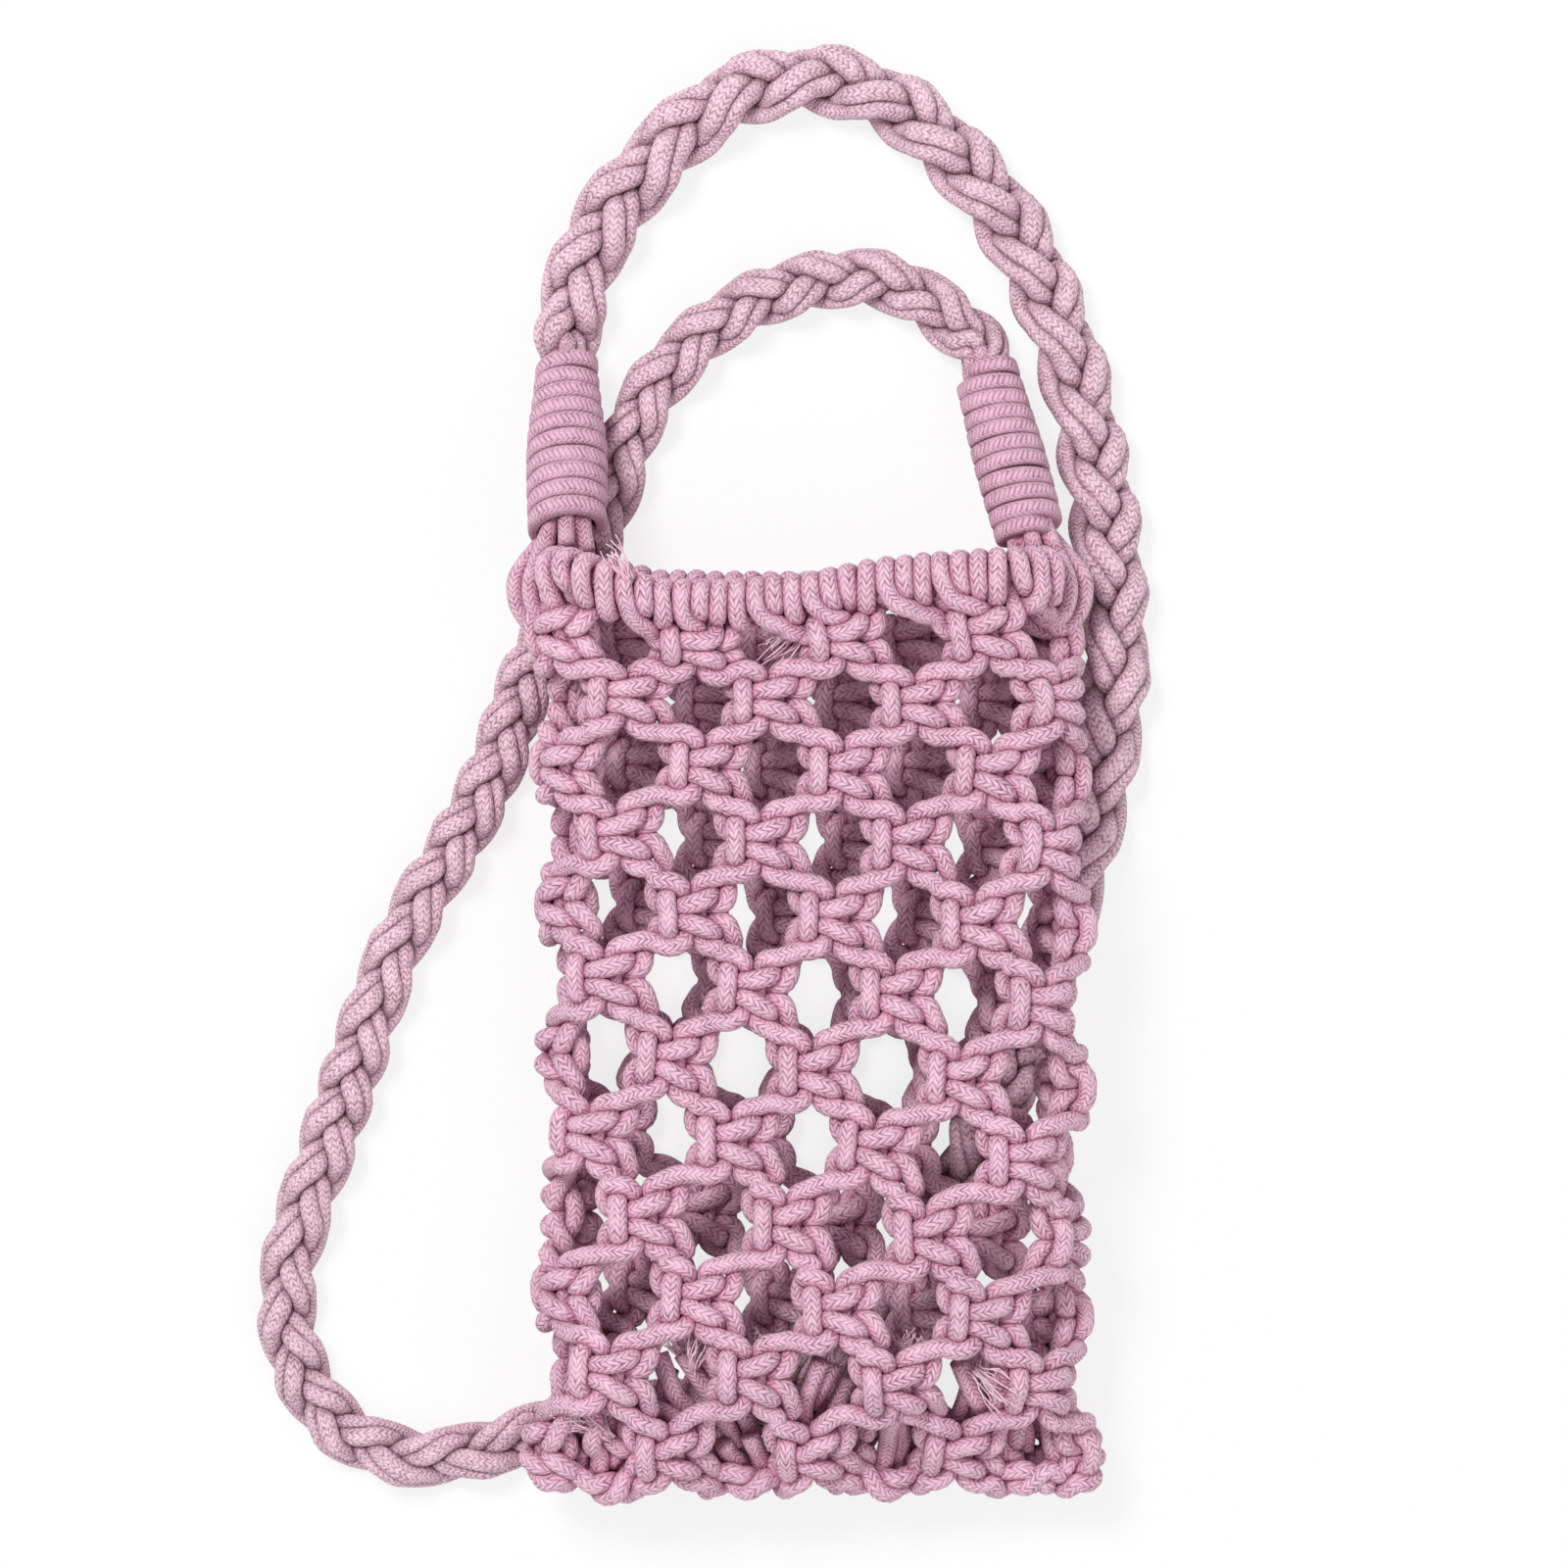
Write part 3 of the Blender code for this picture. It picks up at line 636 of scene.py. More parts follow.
def joined(lines):
    """All the lines' points, the line that each is on, and where the lines start."""
    starts = np.cumsum([0] + [len(line) for line in lines])
    owner = np.concatenate([np.full(len(line), k) for k, line in enumerate(lines)])
    return np.vstack(lines), owner, starts


def tree_of(points):
    tree = KDTree(len(points))
    for index, point in enumerate(points):
        tree.insert(point, index)
    tree.balance()
    return tree


def near_on_cord(radius):
    """How many points apart two points of one cord are neighbours and don't press."""
    return int(NEIGHBOUR_REACH * radius / CORD_STEP) + 2


def settle(lines, radius, rounds, strand=1):
    """Pushes cords that lie in each other apart, as soft cords press on each other. The
    cords of one strand stay pressed together."""
    points, owner, starts = joined(lines)
    home = points.copy()
    ends = np.zeros(len(points), bool)
    ends[starts[:-1]] = True
    ends[starts[1:] - 1] = True
    least = 2 * radius * SETTLED_SHARE
    near_self = near_on_cord(radius)
    for _ in range(rounds):
        tree = tree_of(points)
        pairs = []
        for index, point in enumerate(points):
            for _, other, _ in tree.find_range(point, least):
                if other <= index:
                    continue
                apart = owner[other] // strand != owner[index] // strand
                if apart or strand == 1 and other - index > near_self:
                    pairs.append((index, other))
        push = np.zeros_like(points)
        count = np.zeros(len(points))
        if pairs:
            one, two = np.array(pairs).T
            between = points[one] - points[two]
            distance = np.linalg.norm(between, axis=1) + 1e-6
            move = between / distance[:, None] * ((least - distance) * 0.5)[:, None]
            np.add.at(push, one, move)
            np.add.at(push, two, -move)
            np.add.at(count, one, 1)
            np.add.at(count, two, 1)
        points = points + push / np.maximum(count, 1.0)[:, None] * PUSH_SHARE
        middle = points.copy()
        middle[1:-1] = (points[:-2] + points[2:]) / 2
        points = np.where(ends[:, None], points, points + SMOOTH_SHARE * (middle - points))
        points = points + HOME_SHARE * (home - points)
        points[:, 2] = np.maximum(points[:, 2], radius)
    return [points[a:b] for a, b in zip(starts, starts[1:])]


def frame_along(line, across=None):
    """The sideways and upward directions at each point of a line, without needless twist."""
    tangent = np.gradient(line, axis=0)
    tangent /= np.linalg.norm(tangent, axis=1)[:, None] + 1e-12
    if across is None:
        side = np.zeros_like(line)
        helper = [0.0, 0.0, 1.0] if abs(tangent[0][2]) < 0.9 else [1.0, 0.0, 0.0]
        side[0] = np.cross(tangent[0], helper)
        side[0] /= np.linalg.norm(side[0])
        for index in range(1, len(line)):
            step = side[index - 1] - tangent[index] * side[index - 1].dot(tangent[index])
            side[index] = step / (np.linalg.norm(step) + 1e-12)
    else:
        side = across - tangent * np.sum(across * tangent, axis=1)[:, None]
        side /= np.linalg.norm(side, axis=1)[:, None] + 1e-12
    return side, np.cross(side, tangent)


def round_outline(sides):
    angle = np.linspace(0.0, 2 * math.pi, sides, endpoint=False)
    return np.stack([np.cos(angle), np.sin(angle)], axis=1)


def rings_along(line, outline, across=None):
    """The outline's corners about each point of a line."""
    side, up = frame_along(line, across)
    return outline[None, :, :1] * side[:, None, :] + outline[None, :, 1:] * up[:, None, :]


def pressed(lines, radius):
    """Each cord's radius at each corner of its rings: soft cords that touch press each
    other flat halfway between them, and swell to their free sides."""
    points, owner, starts = joined(lines)
    outline = round_outline(CORD_SIDES)
    rings = np.vstack([rings_along(line, outline) for line in lines])
    tree = tree_of(points)
    near_self = near_on_cord(radius)
    pairs = []
    for index, point in enumerate(points):
        for _, other, _ in tree.find_range(point, PRESS_REACH * radius):
            if owner[other] != owner[index] or abs(other - index) > near_self:
                pairs.append((index, other))
    free = FREE_REACH * radius
    limit = np.full((len(points), CORD_SIDES), free)
    if pairs:
        one, two = np.array(pairs).T
        away = points[two] - points[one]
        distance = np.linalg.norm(away, axis=1) + 1e-6
        away /= distance[:, None]
        facing = np.einsum("pkc,pc->pk", rings[one], away)
        halfway = 0.5 * distance[:, None] / np.maximum(facing, LEAST_FACING)
        np.minimum.at(limit, one, np.where(facing > LEAST_FACING, halfway, free))
    share = np.mean(np.minimum(limit, radius) ** 2, axis=1) / radius**2
    grown = np.clip(SWELLING / np.sqrt(share), 1.0, MOST_SWOLLEN) * radius
    least = LEAST_PRESSED * radius
    kernel = np.array([1.0, 2.0, 3.0, 2.0, 1.0]) / 9
    radii = []
    for start, stop in zip(starts, starts[1:]):
        full = np.convolve(np.pad(grown[start:stop], 2, mode="edge"), kernel, mode="valid")
        own = np.maximum(np.minimum(limit[start:stop], full[:, None]), least)
        own = (np.roll(own, 1, axis=1) + 2 * own + np.roll(own, -1, axis=1)) / 4
        longer = np.pad(own, ((1, 1), (0, 0)), mode="edge")
        radii.append((longer[:-2] + 2 * longer[1:-1] + longer[2:]) / 4)
    return radii


def waver(count, seed, amount, span):
    """Smooth random changes along a line, about 1."""
    lots = np.random.default_rng(seed)
    knots = max(4, count // span)
    values = lots.normal(0.0, amount, knots)
    return 1.0 + np.interp(np.linspace(0, knots - 1, count), np.arange(knots), values)


def sweep(line, radius, sides=CORD_SIDES, across=None, outline=None, seed=0):
    """A closed tube along a line of points in millimetres, round or of the given outline.
    Gives its vertices, its quads and the two caps, and the corners' places on the cord."""
    line = np.asarray(line, float)
    count = len(line)
    if outline is None:
        outline = round_outline(sides)
    sides = len(outline)
    radius = np.asarray(radius, float)
    radius = radius[:, None] if radius.ndim == 1 else radius
    radius = np.broadcast_to(radius, (count, sides)) * waver(count, seed, *CORD_WAVER)[:, None]
    ring = rings_along(line, outline, across)
    vertices = (line[:, None, :] + ring * radius[:, :, None]).reshape(-1, 3)
    length = distances(line)
    low = (np.arange(count - 1) * sides)[:, None]
    k = np.arange(sides)[None, :]
    k1 = (k + 1) % sides
    quads = np.stack([low + k, low + sides + k, low + sides + k1, low + k1], axis=-1)
    a = np.broadcast_to(k / sides, (count - 1, sides))
    b = np.broadcast_to((k + 1) / sides, (count - 1, sides))
    start = np.broadcast_to(length[:-1, None], a.shape)
    stop = np.broadcast_to(length[1:, None], a.shape)
    corners = np.stack([a, start, a, stop, b, stop, b, start], axis=-1).reshape(-1, 2)
    first = np.arange(sides)
    last = ((count - 1) * sides + np.arange(sides))[::-1]
    near_cap = np.stack([first / sides, np.full(sides, length[0])], axis=1)
    far_cap = np.stack([first[::-1] / sides, np.full(sides, length[-1])], axis=1)
    cap_corners = np.concatenate([near_cap, far_cap])
    return vertices, quads.reshape(-1, 4), (first, last), corners, cap_corners


def piece(name, tubes, look, body):
    """One object made of tubes, riding a body."""
    vertices = []
    quads = []
    caps = []
    quad_corners = []
    cap_corners = []
    reached = 0
    for tube_vertices, tube_quads, tube_caps, corners, end_corners in tubes:
        vertices.append(tube_vertices)
        quads.append(tube_quads + reached)
        caps.extend([cap + reached for cap in tube_caps])
        quad_corners.append(corners)
        cap_corners.append(end_corners)
        reached += len(tube_vertices)
    vertices = (np.vstack(vertices) + SHIFT) * MM
    quads = np.vstack(quads)
    loops = np.concatenate([quads.ravel(), *caps]).astype(np.int32)
    totals = np.concatenate([np.full(len(quads), 4), [len(cap) for cap in caps]]).astype(np.int32)
    starts = np.concatenate([[0], np.cumsum(totals)[:-1]]).astype(np.int32)
    mesh = bpy.data.meshes.new(name)
    mesh.vertices.add(len(vertices))
    mesh.vertices.foreach_set("co", vertices.astype(np.float32).ravel())
    mesh.loops.add(len(loops))
    mesh.loops.foreach_set("vertex_index", loops)
    mesh.polygons.add(len(totals))
    mesh.polygons.foreach_set("loop_start", starts)
    mesh.update(calc_edges=True)
    layer = mesh.uv_layers.new(name="CordUV")
    uvs = np.vstack([*quad_corners, *cap_corners]).astype(np.float32)
    layer.data.foreach_set("uv", uvs.ravel())
    mesh.validate()
    mesh.shade_smooth()
    mesh.materials.append(look)
    made = bpy.data.objects.new(name, mesh)
    bpy.context.scene.collection.objects.link(made)
    if body:
        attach(made, body)
    return made


def srgb(red, green, blue):
    def linear(value):
        value /= 255
        return value / 12.92 if value <= 0.04045 else ((value + 0.055) / 1.055) ** 2.4

    return (linear(red), linear(green), linear(blue), 1.0)


class Nodes:
    """A short way to write a material's node tree."""

    def __init__(self, name):
        self.material = bpy.data.materials.new(name)
        self.material.use_nodes = True
        self.tree = self.material.node_tree
        self.surface = self.tree.nodes["Principled BSDF"]

    def add(self, kind, inputs=(), **settings):
        node = self.tree.nodes.new(kind)
        for key, value in settings.items():
            setattr(node, key, value)
        for key, value in dict(inputs).items():
            if isinstance(value, bpy.types.NodeSocket):
                self.tree.links.new(value, node.inputs[key])
            else:
                node.inputs[key].default_value = value
        return node

    def math(self, operation, a, b=0.0, c=0.0):
        node = self.add("ShaderNodeMath", {0: a, 1: b, 2: c}, operation=operation)
        return node.outputs[0]

    def noise(self, place, scale, detail, **more):
        inputs = {"Vector": place, "Scale": scale, "Detail": detail, **more}
        return self.add("ShaderNodeTexNoise", inputs).outputs["Fac"]

    def about_one(self, noise, change):
        """The noise as changes of up to the given size to both sides of 1."""
        return self.math("MULTIPLY_ADD", noise, 2.0 * change, 1.0 - change)

    def ridges(self, phase, power):
        """Ridges with grooves between them at the phase's whole numbers."""
        wave = self.math("ABSOLUTE", self.math("SINE", self.math("MULTIPLY", phase, math.pi)))
        return self.math("POWER", wave, power)

    def scaled(self, colour, share):
        inputs = {0: colour, "Scale": share}
        return self.add("ShaderNodeVectorMath", inputs, operation="SCALE").outputs[0]

    def link(self, output, name):
        self.tree.links.new(output, self.surface.inputs[name])

    def set(self, values):
        for name, value in values.items():
            self.surface.inputs[name].default_value = value


# Noise scales are per metre. The drift, fleck and grain are changes of tone about 1.
WHITE = (1.0, 1.0, 1.0, 1.0)
WOBBLE_SCALE = 600.0
PATCH_SCALE = 420.0
LINT_SCALE = 2600.0
SLOW_SCALE = 60.0
BEAD_SCALE = 1100.0
FRAY_SCALE = 700.0
STITCH_SHAKE = 0.7
STITCH_POWER = 0.45
COLUMN_POWER = 0.42
COLUMN_RELIEF = 0.45
# How deep the painted shade in the braid's grooves goes, as a noise's multiplier and offset
GROOVE_SHADE_DEPTH = (3.2, -0.7)
YARNS_ROUND = 60.0
YARNS_ALONG = 3.0
TONE_DRIFT = 0.12
LINT_FLECK = 0.15
YARN_GRAIN = 0.22
FRAY_FLECK = 0.25
# Painted shade in creases and hollows: how near other cords must lie to darken a cord's colour, and the
# power of the open share
PAINTED_SHADE_REACH = 0.006
PAINTED_SHADE_POWER = 1.2


def braided_cotton(name, light, groove_shade, shadow, stitch=1.2, columns=10.0, slant=1.1, pebble=0.15):
    """Round braided cotton cord: chevrons of yarn, lint, slow changes of tone, and painted shade in its
    grooves and in creases and hollows near other cords.
    """
    n = Nodes(name)
    uv = n.add("ShaderNodeUVMap", uv_map="CordUV")
    parts = n.add("ShaderNodeSeparateXYZ", {0: uv.outputs["UV"]}).outputs
    place = n.add("ShaderNodeTexCoord").outputs["Object"]
    around = n.math("MULTIPLY", parts["X"], columns)
    zigzag = n.math("PINGPONG", around, 1.0)
    wobble = n.noise(place, WOBBLE_SCALE, 2.0)
    shake = n.math("MULTIPLY_ADD", wobble, STITCH_SHAKE, -STITCH_SHAKE / 2)
    along = n.math("DIVIDE", parts["Y"], stitch)
    phase = n.math("MULTIPLY_ADD", zigzag, slant, along)
    phase = n.math("ADD", phase, shake)
    stripe = n.ridges(phase, STITCH_POWER)
    column = n.ridges(around, COLUMN_POWER)
    crown = n.math("MULTIPLY_ADD", column, COLUMN_RELIEF, 1.0 - COLUMN_RELIEF)
    height = n.math("MULTIPLY", stripe, crown)
    # Painted shade in the grooves between the yarns: the colour darkens into the grooves, by a depth
    # that changes with noise
    depth = n.math("MULTIPLY_ADD", n.noise(place, PATCH_SCALE, 1.5), *GROOVE_SHADE_DEPTH)
    groove_shade_share = n.math("MULTIPLY", n.math("SUBTRACT", 1.0, height), depth)
    yarn_round = n.math("MULTIPLY", parts["X"], YARNS_ROUND)
    yarn_along = n.math("MULTIPLY", phase, YARNS_ALONG)
    yarn = n.add("ShaderNodeCombineXYZ", {0: yarn_round, 1: yarn_along})
    fibre = n.noise(yarn.outputs[0], 1.0, 3.0, Roughness=0.65)
    lint = n.noise(place, LINT_SCALE, 3.0, Roughness=0.7)
    slow = n.noise(place, SLOW_SCALE, 2.0)
    bead = n.noise(place, BEAD_SCALE, 2.0)
    blend = {0: groove_shade_share, 1: light, 2: groove_shade}
    tone = n.add("ShaderNodeMixRGB", blend, blend_type="MIX", use_clamp=True)
    drift = n.about_one(slow, TONE_DRIFT)
    fleck = n.about_one(lint, LINT_FLECK)
    shade = n.math("MULTIPLY", n.math("MULTIPLY", drift, fleck), n.about_one(fibre, YARN_GRAIN))
    shade = n.math("MULTIPLY", shade, n.about_one(bead, pebble))
    colour = n.scaled(tone.outputs[0], shade)
    # Painted shade: the colour is darkened towards the shadow colour where other cords lie close, in
    # creases and hollows
    shade_occlusion = n.add("ShaderNodeAmbientOcclusion", {"Distance": PAINTED_SHADE_REACH}, samples=6)
    open_share = n.math("POWER", shade_occlusion.outputs["AO"], PAINTED_SHADE_POWER)
    blend = {0: open_share, 1: shadow, 2: WHITE}
    painted_hollow_shade = n.add("ShaderNodeMixRGB", blend, blend_type="MIX").outputs[0]
    shaded_colour = n.add("ShaderNodeVectorMath", {0: colour, 1: painted_hollow_shade}, operation="MULTIPLY")
    n.link(shaded_colour.outputs[0], "Base Color")
    relief = n.math("MULTIPLY_ADD", fibre, 0.5, height)
    relief = n.math("MULTIPLY_ADD", lint, 0.25, relief)
    relief = n.math("MULTIPLY_ADD", bead, 3.0 * pebble, relief)
    bump = n.add("ShaderNodeBump", {"Height": relief, "Strength": 0.8, "Distance": 0.0004})
    n.link(bump.outputs[0], "Normal")
    n.set({"Roughness": 0.85, "Specular IOR Level": 0.3})
    n.set({"Sheen Weight": 0.15, "Sheen Roughness": 0.45})
    return n.material


def plain_cotton(name, colour):
    n = Nodes(name)
    place = n.add("ShaderNodeTexCoord").outputs["Object"]
    shade = n.about_one(n.noise(place, FRAY_SCALE, 3.0), FRAY_FLECK)
    tone = n.add("ShaderNodeRGB")
    tone.outputs[0].default_value = colour
    n.link(n.scaled(tone.outputs[0], shade), "Base Color")
    n.set({"Roughness": 0.9, "Sheen Weight": 0.3})
    return n.material


# Each look: the cotton's colour, the painted shade in its braid's grooves, and the painted shadow colour
# for its creases and hollows
net_look = braided_cotton(
    "net_cotton", srgb(253, 208, 229), srgb(160, 100, 130), (0.72, 0.46, 0.57, 1.0)
)
strap_look = braided_cotton(
    "strap_cotton",
    srgb(253, 216, 230),
    srgb(180, 132, 152),
    (0.38, 0.25, 0.30, 1.0),
    stitch=1.05,
    columns=18.0,
    slant=0.7,
    pebble=0.5,
)
wound_look = braided_cotton(
    "wound_cotton",
    srgb(236, 189, 211),
    srgb(172, 116, 145),
    (0.50, 0.30, 0.38, 1.0),
    stitch=1.0,
    columns=14.0,
    slant=0.8,
)
fray_look = plain_cotton("frayed_cotton", srgb(248, 212, 229))

# The camera looks straight down, with the photograph's picture 320 mm wide.
PICTURE = 320.0
PICTURE_MIDDLE = (-6.0, -39.4)
CAMERA_HEIGHT = 1500.0
FOCUS_HEIGHT = 16.0
SENSOR = 36.0
camera_data = bpy.data.cameras.new("camera")
camera_data.sensor_width = SENSOR
camera_data.lens = SENSOR * (CAMERA_HEIGHT - FOCUS_HEIGHT) / PICTURE
camera_data.clip_start = 0.05
camera_data.clip_end = 20.0
camera = bpy.data.objects.new("camera", camera_data)
camera.location = (np.array([*PICTURE_MIDDLE, CAMERA_HEIGHT]) + SHIFT) * MM
bpy.context.scene.collection.objects.link(camera)
bpy.context.scene.camera = camera


class StrapEnd:
    """One strap end: its pivot on the ring, its winding's axis and the strap's way in."""

    def __init__(self, side, low, high):
        self.pivot = on_net(side * ROUND_IT / 4, 0.0, 0.0)
        self.pivot[1] = 0.0
        self.inwards = 1.0 if side == 0 else -1.0
        self.low = np.array([*low, self.pivot[2] - END_DROP])
        self.high = np.array([*high, END_REST_HEIGHT])
        self.length = np.linalg.norm(self.high - self.low)
        self.axis = (self.high - self.low) / self.length
        self.sideways = np.cross(self.axis, [0.0, 0.0, 1.0])
        self.sideways /= np.linalg.norm(self.sideways)
        self.upwards = np.cross(self.sideways, self.axis)
        tip = self.high + self.axis * TIP_BEYOND
        self.way_out = [tip - self.axis * INSIDE_WINDING, tip, tip + self.axis * TIP_STRAIGHT]


left = StrapEnd(0, LEFT_LOW, LEFT_HIGH)
right = StrapEnd(2, RIGHT_LOW, RIGHT_HIGH)


def on_floor(points):
    return np.array([[p[0], p[1], STRAP_HEIGHT] for p in points])


def plait(line, period, swing, radius, spacing, seed, wound_at_end=False, rolled=0.0):
    """Three strands of two cords each, plaited along the line and gathered where one end
    of it is wound in: the six cords' tubes."""
    length = distances(line)
    places = np.append(np.arange(0.0, length[-1], PLAIT_STEP), length[-1])
    count = len(places)
    centre = np.stack([np.interp(places, length, line[:, k]) for k in range(3)], axis=1)
    tangent = np.gradient(centre, axis=0)
    tangent /= np.linalg.norm(tangent, axis=1)[:, None]
    across = np.cross(tangent, [0.0, 0.0, 1.0])
    across /= np.linalg.norm(across, axis=1)[:, None]
    above = np.cross(across, tangent)
    wound = 0.6 * INSIDE_WINDING
    free = length[-1] - wound - places if wound_at_end else places - wound
    tight = 0.5 + 0.5 * smooth(free / PLAIT_TIGHTENS)
    turn = rolled * smooth((places - ROLL_IN[0]) / ROLL_IN[1])
    turn = (turn * (1 - smooth((places - ROLL_OUT[0]) / ROLL_OUT[1])))[:, None]
    rolled_across = across * np.cos(turn) + above * np.sin(turn)
    above = above * np.cos(turn) - across * np.sin(turn)
    across = rolled_across
    pace = waver(count, seed, *PACE_WAVER)
    turned = 2 * math.pi * np.cumsum(pace) * PLAIT_STEP / period
    lean = STRAND_LEAN * (waver(count, seed + 1, *LEAN_WAVER) - 1.0)
    lines = []
    for strand in range(3):
        angle = turned + 2 * math.pi * strand / 3
        wide = waver(count, seed + 2 + strand, *WIDTH_WAVER)
        aside = swing * (np.sin(angle) - SWING_SHARPNESS * np.sin(3 * angle)) * tight * wide
        depth = -STRAND_DEPTH * radius * np.sin(2 * angle) * (0.4 + 0.6 * tight)
        middle = centre + across * aside[:, None] + above * depth[:, None]
        heading = np.gradient(middle, axis=0)
        heading /= np.linalg.norm(heading, axis=1)[:, None]
        flat = np.cross(heading, above)
        flat /= np.linalg.norm(flat, axis=1)[:, None]
        normal = np.cross(flat, heading)
        roll = STRAND_ROLL * aside / swing + lean
        flat = flat * np.cos(roll)[:, None] - normal * np.sin(roll)[:, None]
        for cord in (-0.5, 0.5):
            lines.append(middle + flat * (cord * spacing * (0.45 + 0.55 * tight))[:, None])
    lines = settle(lines, radius, PLAIT_ROUNDS, 2)
    thick = pressed(lines, radius)
    slim = (0.5 + 0.5 * tight)[:, None]
    cords = enumerate(zip(lines, thick))
    return [sweep(cord, own * slim, seed=seed + 10 + k) for k, (cord, own) in cords]


def strap(name, tubes):
    """One stretch of the strap, a limp cord put in the place of its stretch."""
    made = piece(name, tubes, strap_look, None)
    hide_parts(f"{name}_stretch")
    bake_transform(made)


meeting = int(np.argmin(np.linalg.norm(ROUTE[:, :2] - np.array(STRAP_MEETING), axis=1)))
first_floor = on_floor(ROUTE[: meeting + 1])
second_floor = on_floor(ROUTE[meeting:])
first_line = spline(np.vstack([left.way_out, first_floor[3:]]), ROUTE_STEP)
second_line = spline(np.vstack([second_floor[:-3], right.way_out[::-1]]), ROUTE_STEP)
first_tubes = plait(
    first_line, period=52.0, swing=3.4, radius=2.35, spacing=2.4, seed=31, rolled=PLAIT_ROLL
)
second_tubes = plait(
    second_line, period=41.0, swing=2.8, radius=1.98, spacing=2.0, seed=61, wound_at_end=True
)
strap("strap_first", first_tubes)
strap("strap_second", second_tubes)


def winding(end, wide, slim):
    """The cord wound round a strap end, flattened by its tightness, its ends tucked in."""
    total = int(WINDING_TURNS * WINDING_STEPS)
    share = np.arange(total + 1) / total
    bulge = smooth(share / 0.35) * WINDING_SLACK
    radius = wide - WINDING_SLACK + bulge + (slim - wide) * smooth((share - 0.4) / 0.6)
    tucked = smooth(np.minimum(share, 1 - share) * WINDING_TURNS / 0.3)
    radius = radius - WINDING_TUCK * (1 - tucked)
    angle = -end.inwards * 2 * math.pi * np.arange(total + 1) / WINDING_STEPS
    outwards = np.cos(angle)[:, None] * end.sideways + np.sin(angle)[:, None] * end.upwards
    waved = waver(total + 1, 17, *WRAP_WAVER) - 1.0
    climb = end.length * (WINDING_START + WINDING_SHARE * share + waved * tucked)
    line = end.low + end.axis * climb[:, None] + outwards * radius[:, None]
    pitch = WINDING_SHARE * end.length / WINDING_TURNS
    boxy = round_outline(WOUND_SIDES)
    boxy = np.sign(boxy) * np.abs(boxy) ** WOUND_BOXINESS
    outline = boxy * [WOUND_HALF_WIDTH * pitch, WOUND_HALF_DEPTH]
    across = np.broadcast_to(end.axis, line.shape)
    return sweep(line, 1.0, across=across, outline=outline, seed=5)


def loop_line(end, wide, tall, level):
    """One cord of a strap end, round the rim ring at its side turn."""
    seat = end.low + end.axis * 2.5
    points = []
    for degrees in LOOP_DEGREES:
        angle = math.radians(degrees)
        across = wide * math.cos(angle) * end.inwards
        points.append(end.pivot + [across, tall * math.sin(angle), 1.8 * level])
    aside = end.sideways * 2.4 * end.inwards
    start = seat - aside + end.upwards * 2.2 * level
    stop = seat + aside + end.upwards * 2.2 * level
    return spline(np.vstack([[start], points, [stop]]), CORD_STEP)


def bundle(end):
    """The strap's cords gathered inside a winding: their tubes."""
    core = np.array(
        [
            end.low - end.axis * 5.5 - end.upwards * 1.0,
            end.low - end.axis * 1.0,
            end.low + end.axis * 12.0,
            end.high - end.axis * 8.0,
            end.high + end.axis * 3.0,
        ]
    )
    tubes = []
    for k in range(BUNDLE_CORDS):
        angle = 2 * math.pi * (k + 0.5) / BUNDLE_CORDS
        aside = math.cos(angle) * end.sideways + math.sin(angle) * end.upwards
        line = spline(core + np.array(BUNDLE_SPREAD)[:, None] * aside, BUNDLE_STEP)
        tubes.append(sweep(line, BUNDLE_RADIUS, BUNDLE_SIDES, seed=20 + k))
    return tubes


for word, end, sizes in (("left", left, LEFT_WINDING), ("right", right, RIGHT_WINDING)):
    inner = sweep(loop_line(end, *INNER_LOOP), INNER_LOOP_RADIUS, seed=2)
    outer = sweep(loop_line(end, *OUTER_LOOP), OUTER_LOOP_RADIUS, seed=3)
    for name, tubes, look, slot, node in (
        ("binding", [winding(end, *sizes)], wound_look, "net_cotton", "winding"),
        ("hook_inner", [inner], net_look, "net_cotton", "inner_loop"),
        ("hook_outer", [outer], net_look, "net_cotton", "outer_loop"),
        ("gathered", bundle(end), net_look, "strap_cotton", "bundle"),
    ):
        made = piece(f"{word}_{name}", tubes, look, f"{word}_strap_end")
        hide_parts(f"{word}_{node}")


def inside_base(points):
    """Points between the net's layers near its base, in the bag's own frame."""
    x, y, share = np.array(points).T
    height = half_gap(y) * (1 + share) + NET_THICKNESS - PRESSED_FLAT + lift(x, y)
    return np.stack([x, y, height], axis=1)


def on_pouch(name, tubes, look, node=None):
    """A piece of the pouch, in the place of a node where it has one."""
    made = piece(name, tubes, look, "pouch")
    if node:
        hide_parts(node)


# Net cords and the ends inside the base, settled against each other
paths = [spline(on_net(*cord_path(cord).T), CORD_STEP) for cord in range(CORDS)]
for tails in BASE_TAILS:
    paths.extend(spline(inside_base(points), CORD_STEP) for points, _ in tails)
settled = settle(paths, CORD_RADIUS, NET_ROUNDS)
thickness = pressed(settled, CORD_RADIUS)
for cord in range(CORDS):
    tube = sweep(settled[cord], thickness[cord], seed=100 + cord)
    on_pouch(f"net_{cord + 1:02d}", [tube], net_look, f"net_cord_{cord + 1:02d}")

ring_turns = np.linspace(0.0, ROUND_IT, RING_POINTS)
ring = on_net(ring_turns, ring_turns * 0.0, ring_turns * 0.0)
on_pouch("rim_core", [sweep(ring, RING_RADIUS)], net_look, "rim_ring")


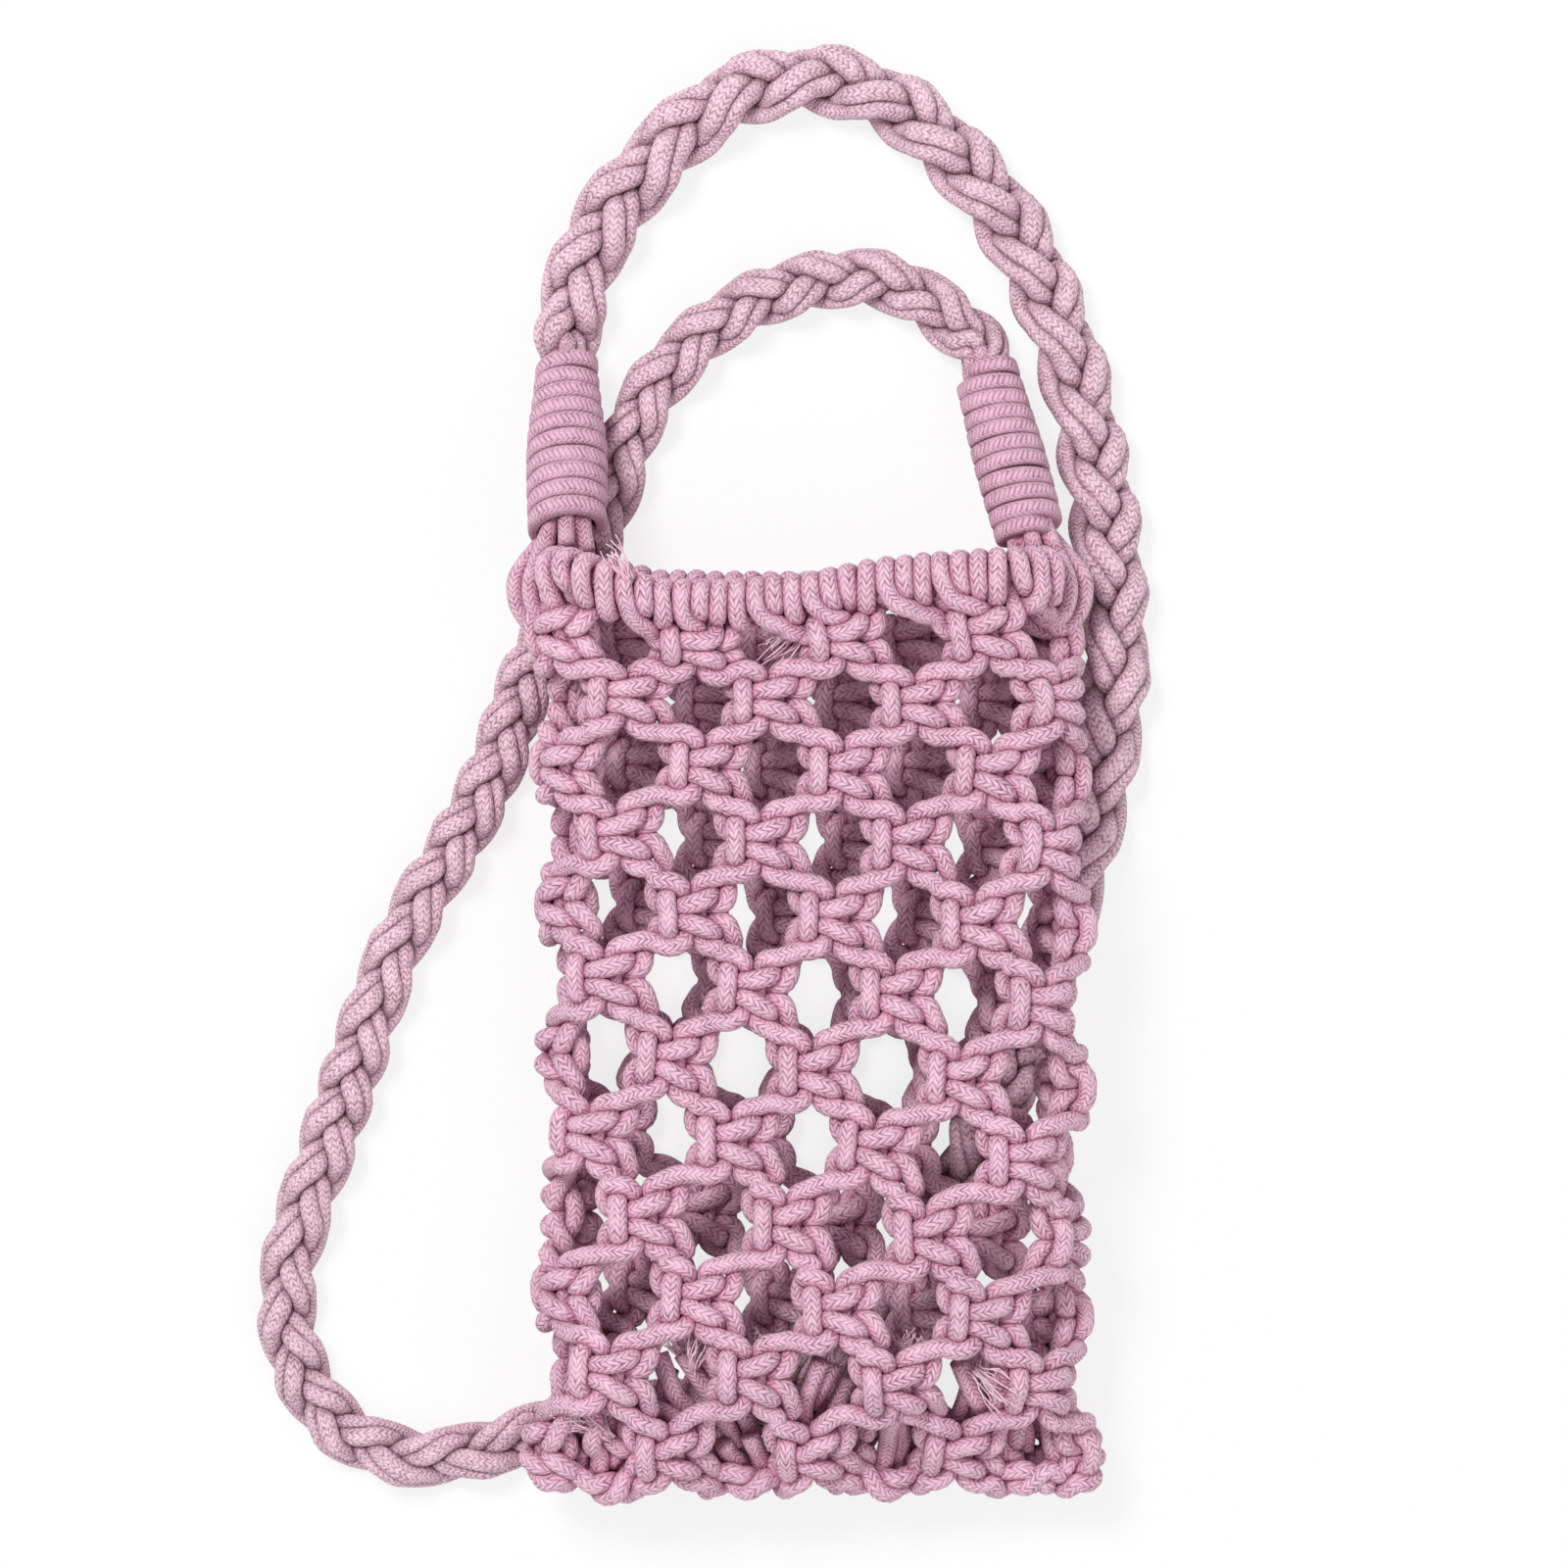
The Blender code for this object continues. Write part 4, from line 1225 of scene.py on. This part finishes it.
def yarn_ends(end, heading, reach, spread, count, lots):
    """Fine yarns that fan out from a cord's cut end."""
    heading = np.array(heading)
    tubes = []
    for _ in range(count):
        aside = lots.normal(0.0, 1.0, 3) * [1.0, 1.0, 0.7]
        length = reach * lots.uniform(*YARN_REACHES)
        tip = end + heading * length + aside * spread
        middle = (end + tip) / 2 + aside * spread * 0.3 + lots.normal(0.0, 0.12 * length, 3)
        start = end - heading * 1.2 + aside * 0.6
        line = spline([start, end + aside * 0.7, middle, tip], length / 6)
        tubes.append(sweep(line, lots.uniform(*YARN_RADII), YARN_SIDES))
    return tubes


place = CORDS
for number, tails in enumerate(BASE_TAILS, 1):
    lots = np.random.default_rng(40 + number)
    cords = []
    yarns = []
    for _, reach in tails:
        line = settled[place]
        cords.append(sweep(line, thickness[place] * TAIL_SLIMNESS, seed=200 + place))
        if reach:
            heading = line[-1] - line[-4]
            heading = heading / np.linalg.norm(heading)
            yarns.extend(yarn_ends(line[-1], heading, reach, *TAIL_YARNS, lots))
        place += 1
    for root, heading, reach, tuft in BASE_YARNS:
        if tuft == number:
            yarns.extend(yarn_ends(inside_base([root])[0], heading, reach, *ROOT_YARNS, lots))
    on_pouch(f"tail_{number}", cords, net_look, f"base_tuft_{number}")
    on_pouch(f"tail_{number}_yarns", yarns, fray_look)

lots = np.random.default_rng(51)
for name, root, heading, reach, spread, count in RIM_YARNS:
    yarns = yarn_ends(on_net(*root), heading, reach, spread, count, lots)
    on_pouch(name, yarns, fray_look)

# Floor: it gives off plain white to the camera and to reflections, mixed with its own
# shading, so that the bag's shadow stays on it.
FLOOR_HALF = 3.0
FLOOR_DROP = 0.0003
WHITE_SHARE = 0.8
around = ((-1, -1), (1, -1), (1, 1), (-1, 1))
floor_corners = [(x * FLOOR_HALF, y * FLOOR_HALF, 0) for x, y in around]
floor_mesh = bpy.data.meshes.new("floor")
floor_mesh.from_pydata(floor_corners, [], [(0, 1, 2, 3)])
floor = bpy.data.objects.new("floor", floor_mesh)
floor.location.z = -FLOOR_DROP
bpy.context.scene.collection.objects.link(floor)
n = Nodes("floor")
n.set({"Base Color": (0.92, 0.92, 0.92, 1.0), "Roughness": 0.9, "Specular IOR Level": 0.0})
seen = n.add("ShaderNodeLightPath").outputs
white = n.add("ShaderNodeEmission", {"Color": WHITE, "Strength": 1.0})
plain_rays = n.math("MAXIMUM", seen["Is Camera Ray"], seen["Is Glossy Ray"])
plain_rays = n.math("MAXIMUM", plain_rays, seen["Is Transmission Ray"])
share = n.math("MULTIPLY", plain_rays, WHITE_SHARE)
mix = n.add("ShaderNodeMixShader", {0: share, 1: n.surface.outputs[0], 2: white.outputs[0]})
n.tree.links.new(mix.outputs[0], n.tree.nodes["Material Output"].inputs["Surface"])
floor_mesh.materials.append(n.material)


def lamp(name, place, size, power):
    """A round lamp aimed at the origin. Place and size in metres, power in watts."""
    data = bpy.data.lights.new(name, "AREA")
    data.shape = "DISK"
    data.size = size
    data.energy = power
    made = bpy.data.objects.new(name, data)
    made.location = place
    made.rotation_mode = "QUATERNION"
    made.rotation_quaternion = Vector(-np.array(place)).to_track_quat("-Z", "Y")
    bpy.context.scene.collection.objects.link(made)


WORLD_STRENGTH = 0.38
lamp("key", (-0.7, 0.8, 1.7), 0.7, 26.0)
lamp("fill", (0.9, -1.0, 1.7), 1.8, 14.0)
world = bpy.data.worlds.new("world")
bpy.context.scene.world = world
world.use_nodes = True
background = world.node_tree.nodes["Background"]
background.inputs[0].default_value = WHITE
background.inputs[1].default_value = WORLD_STRENGTH
bpy.context.scene.view_settings.view_transform = "Standard"
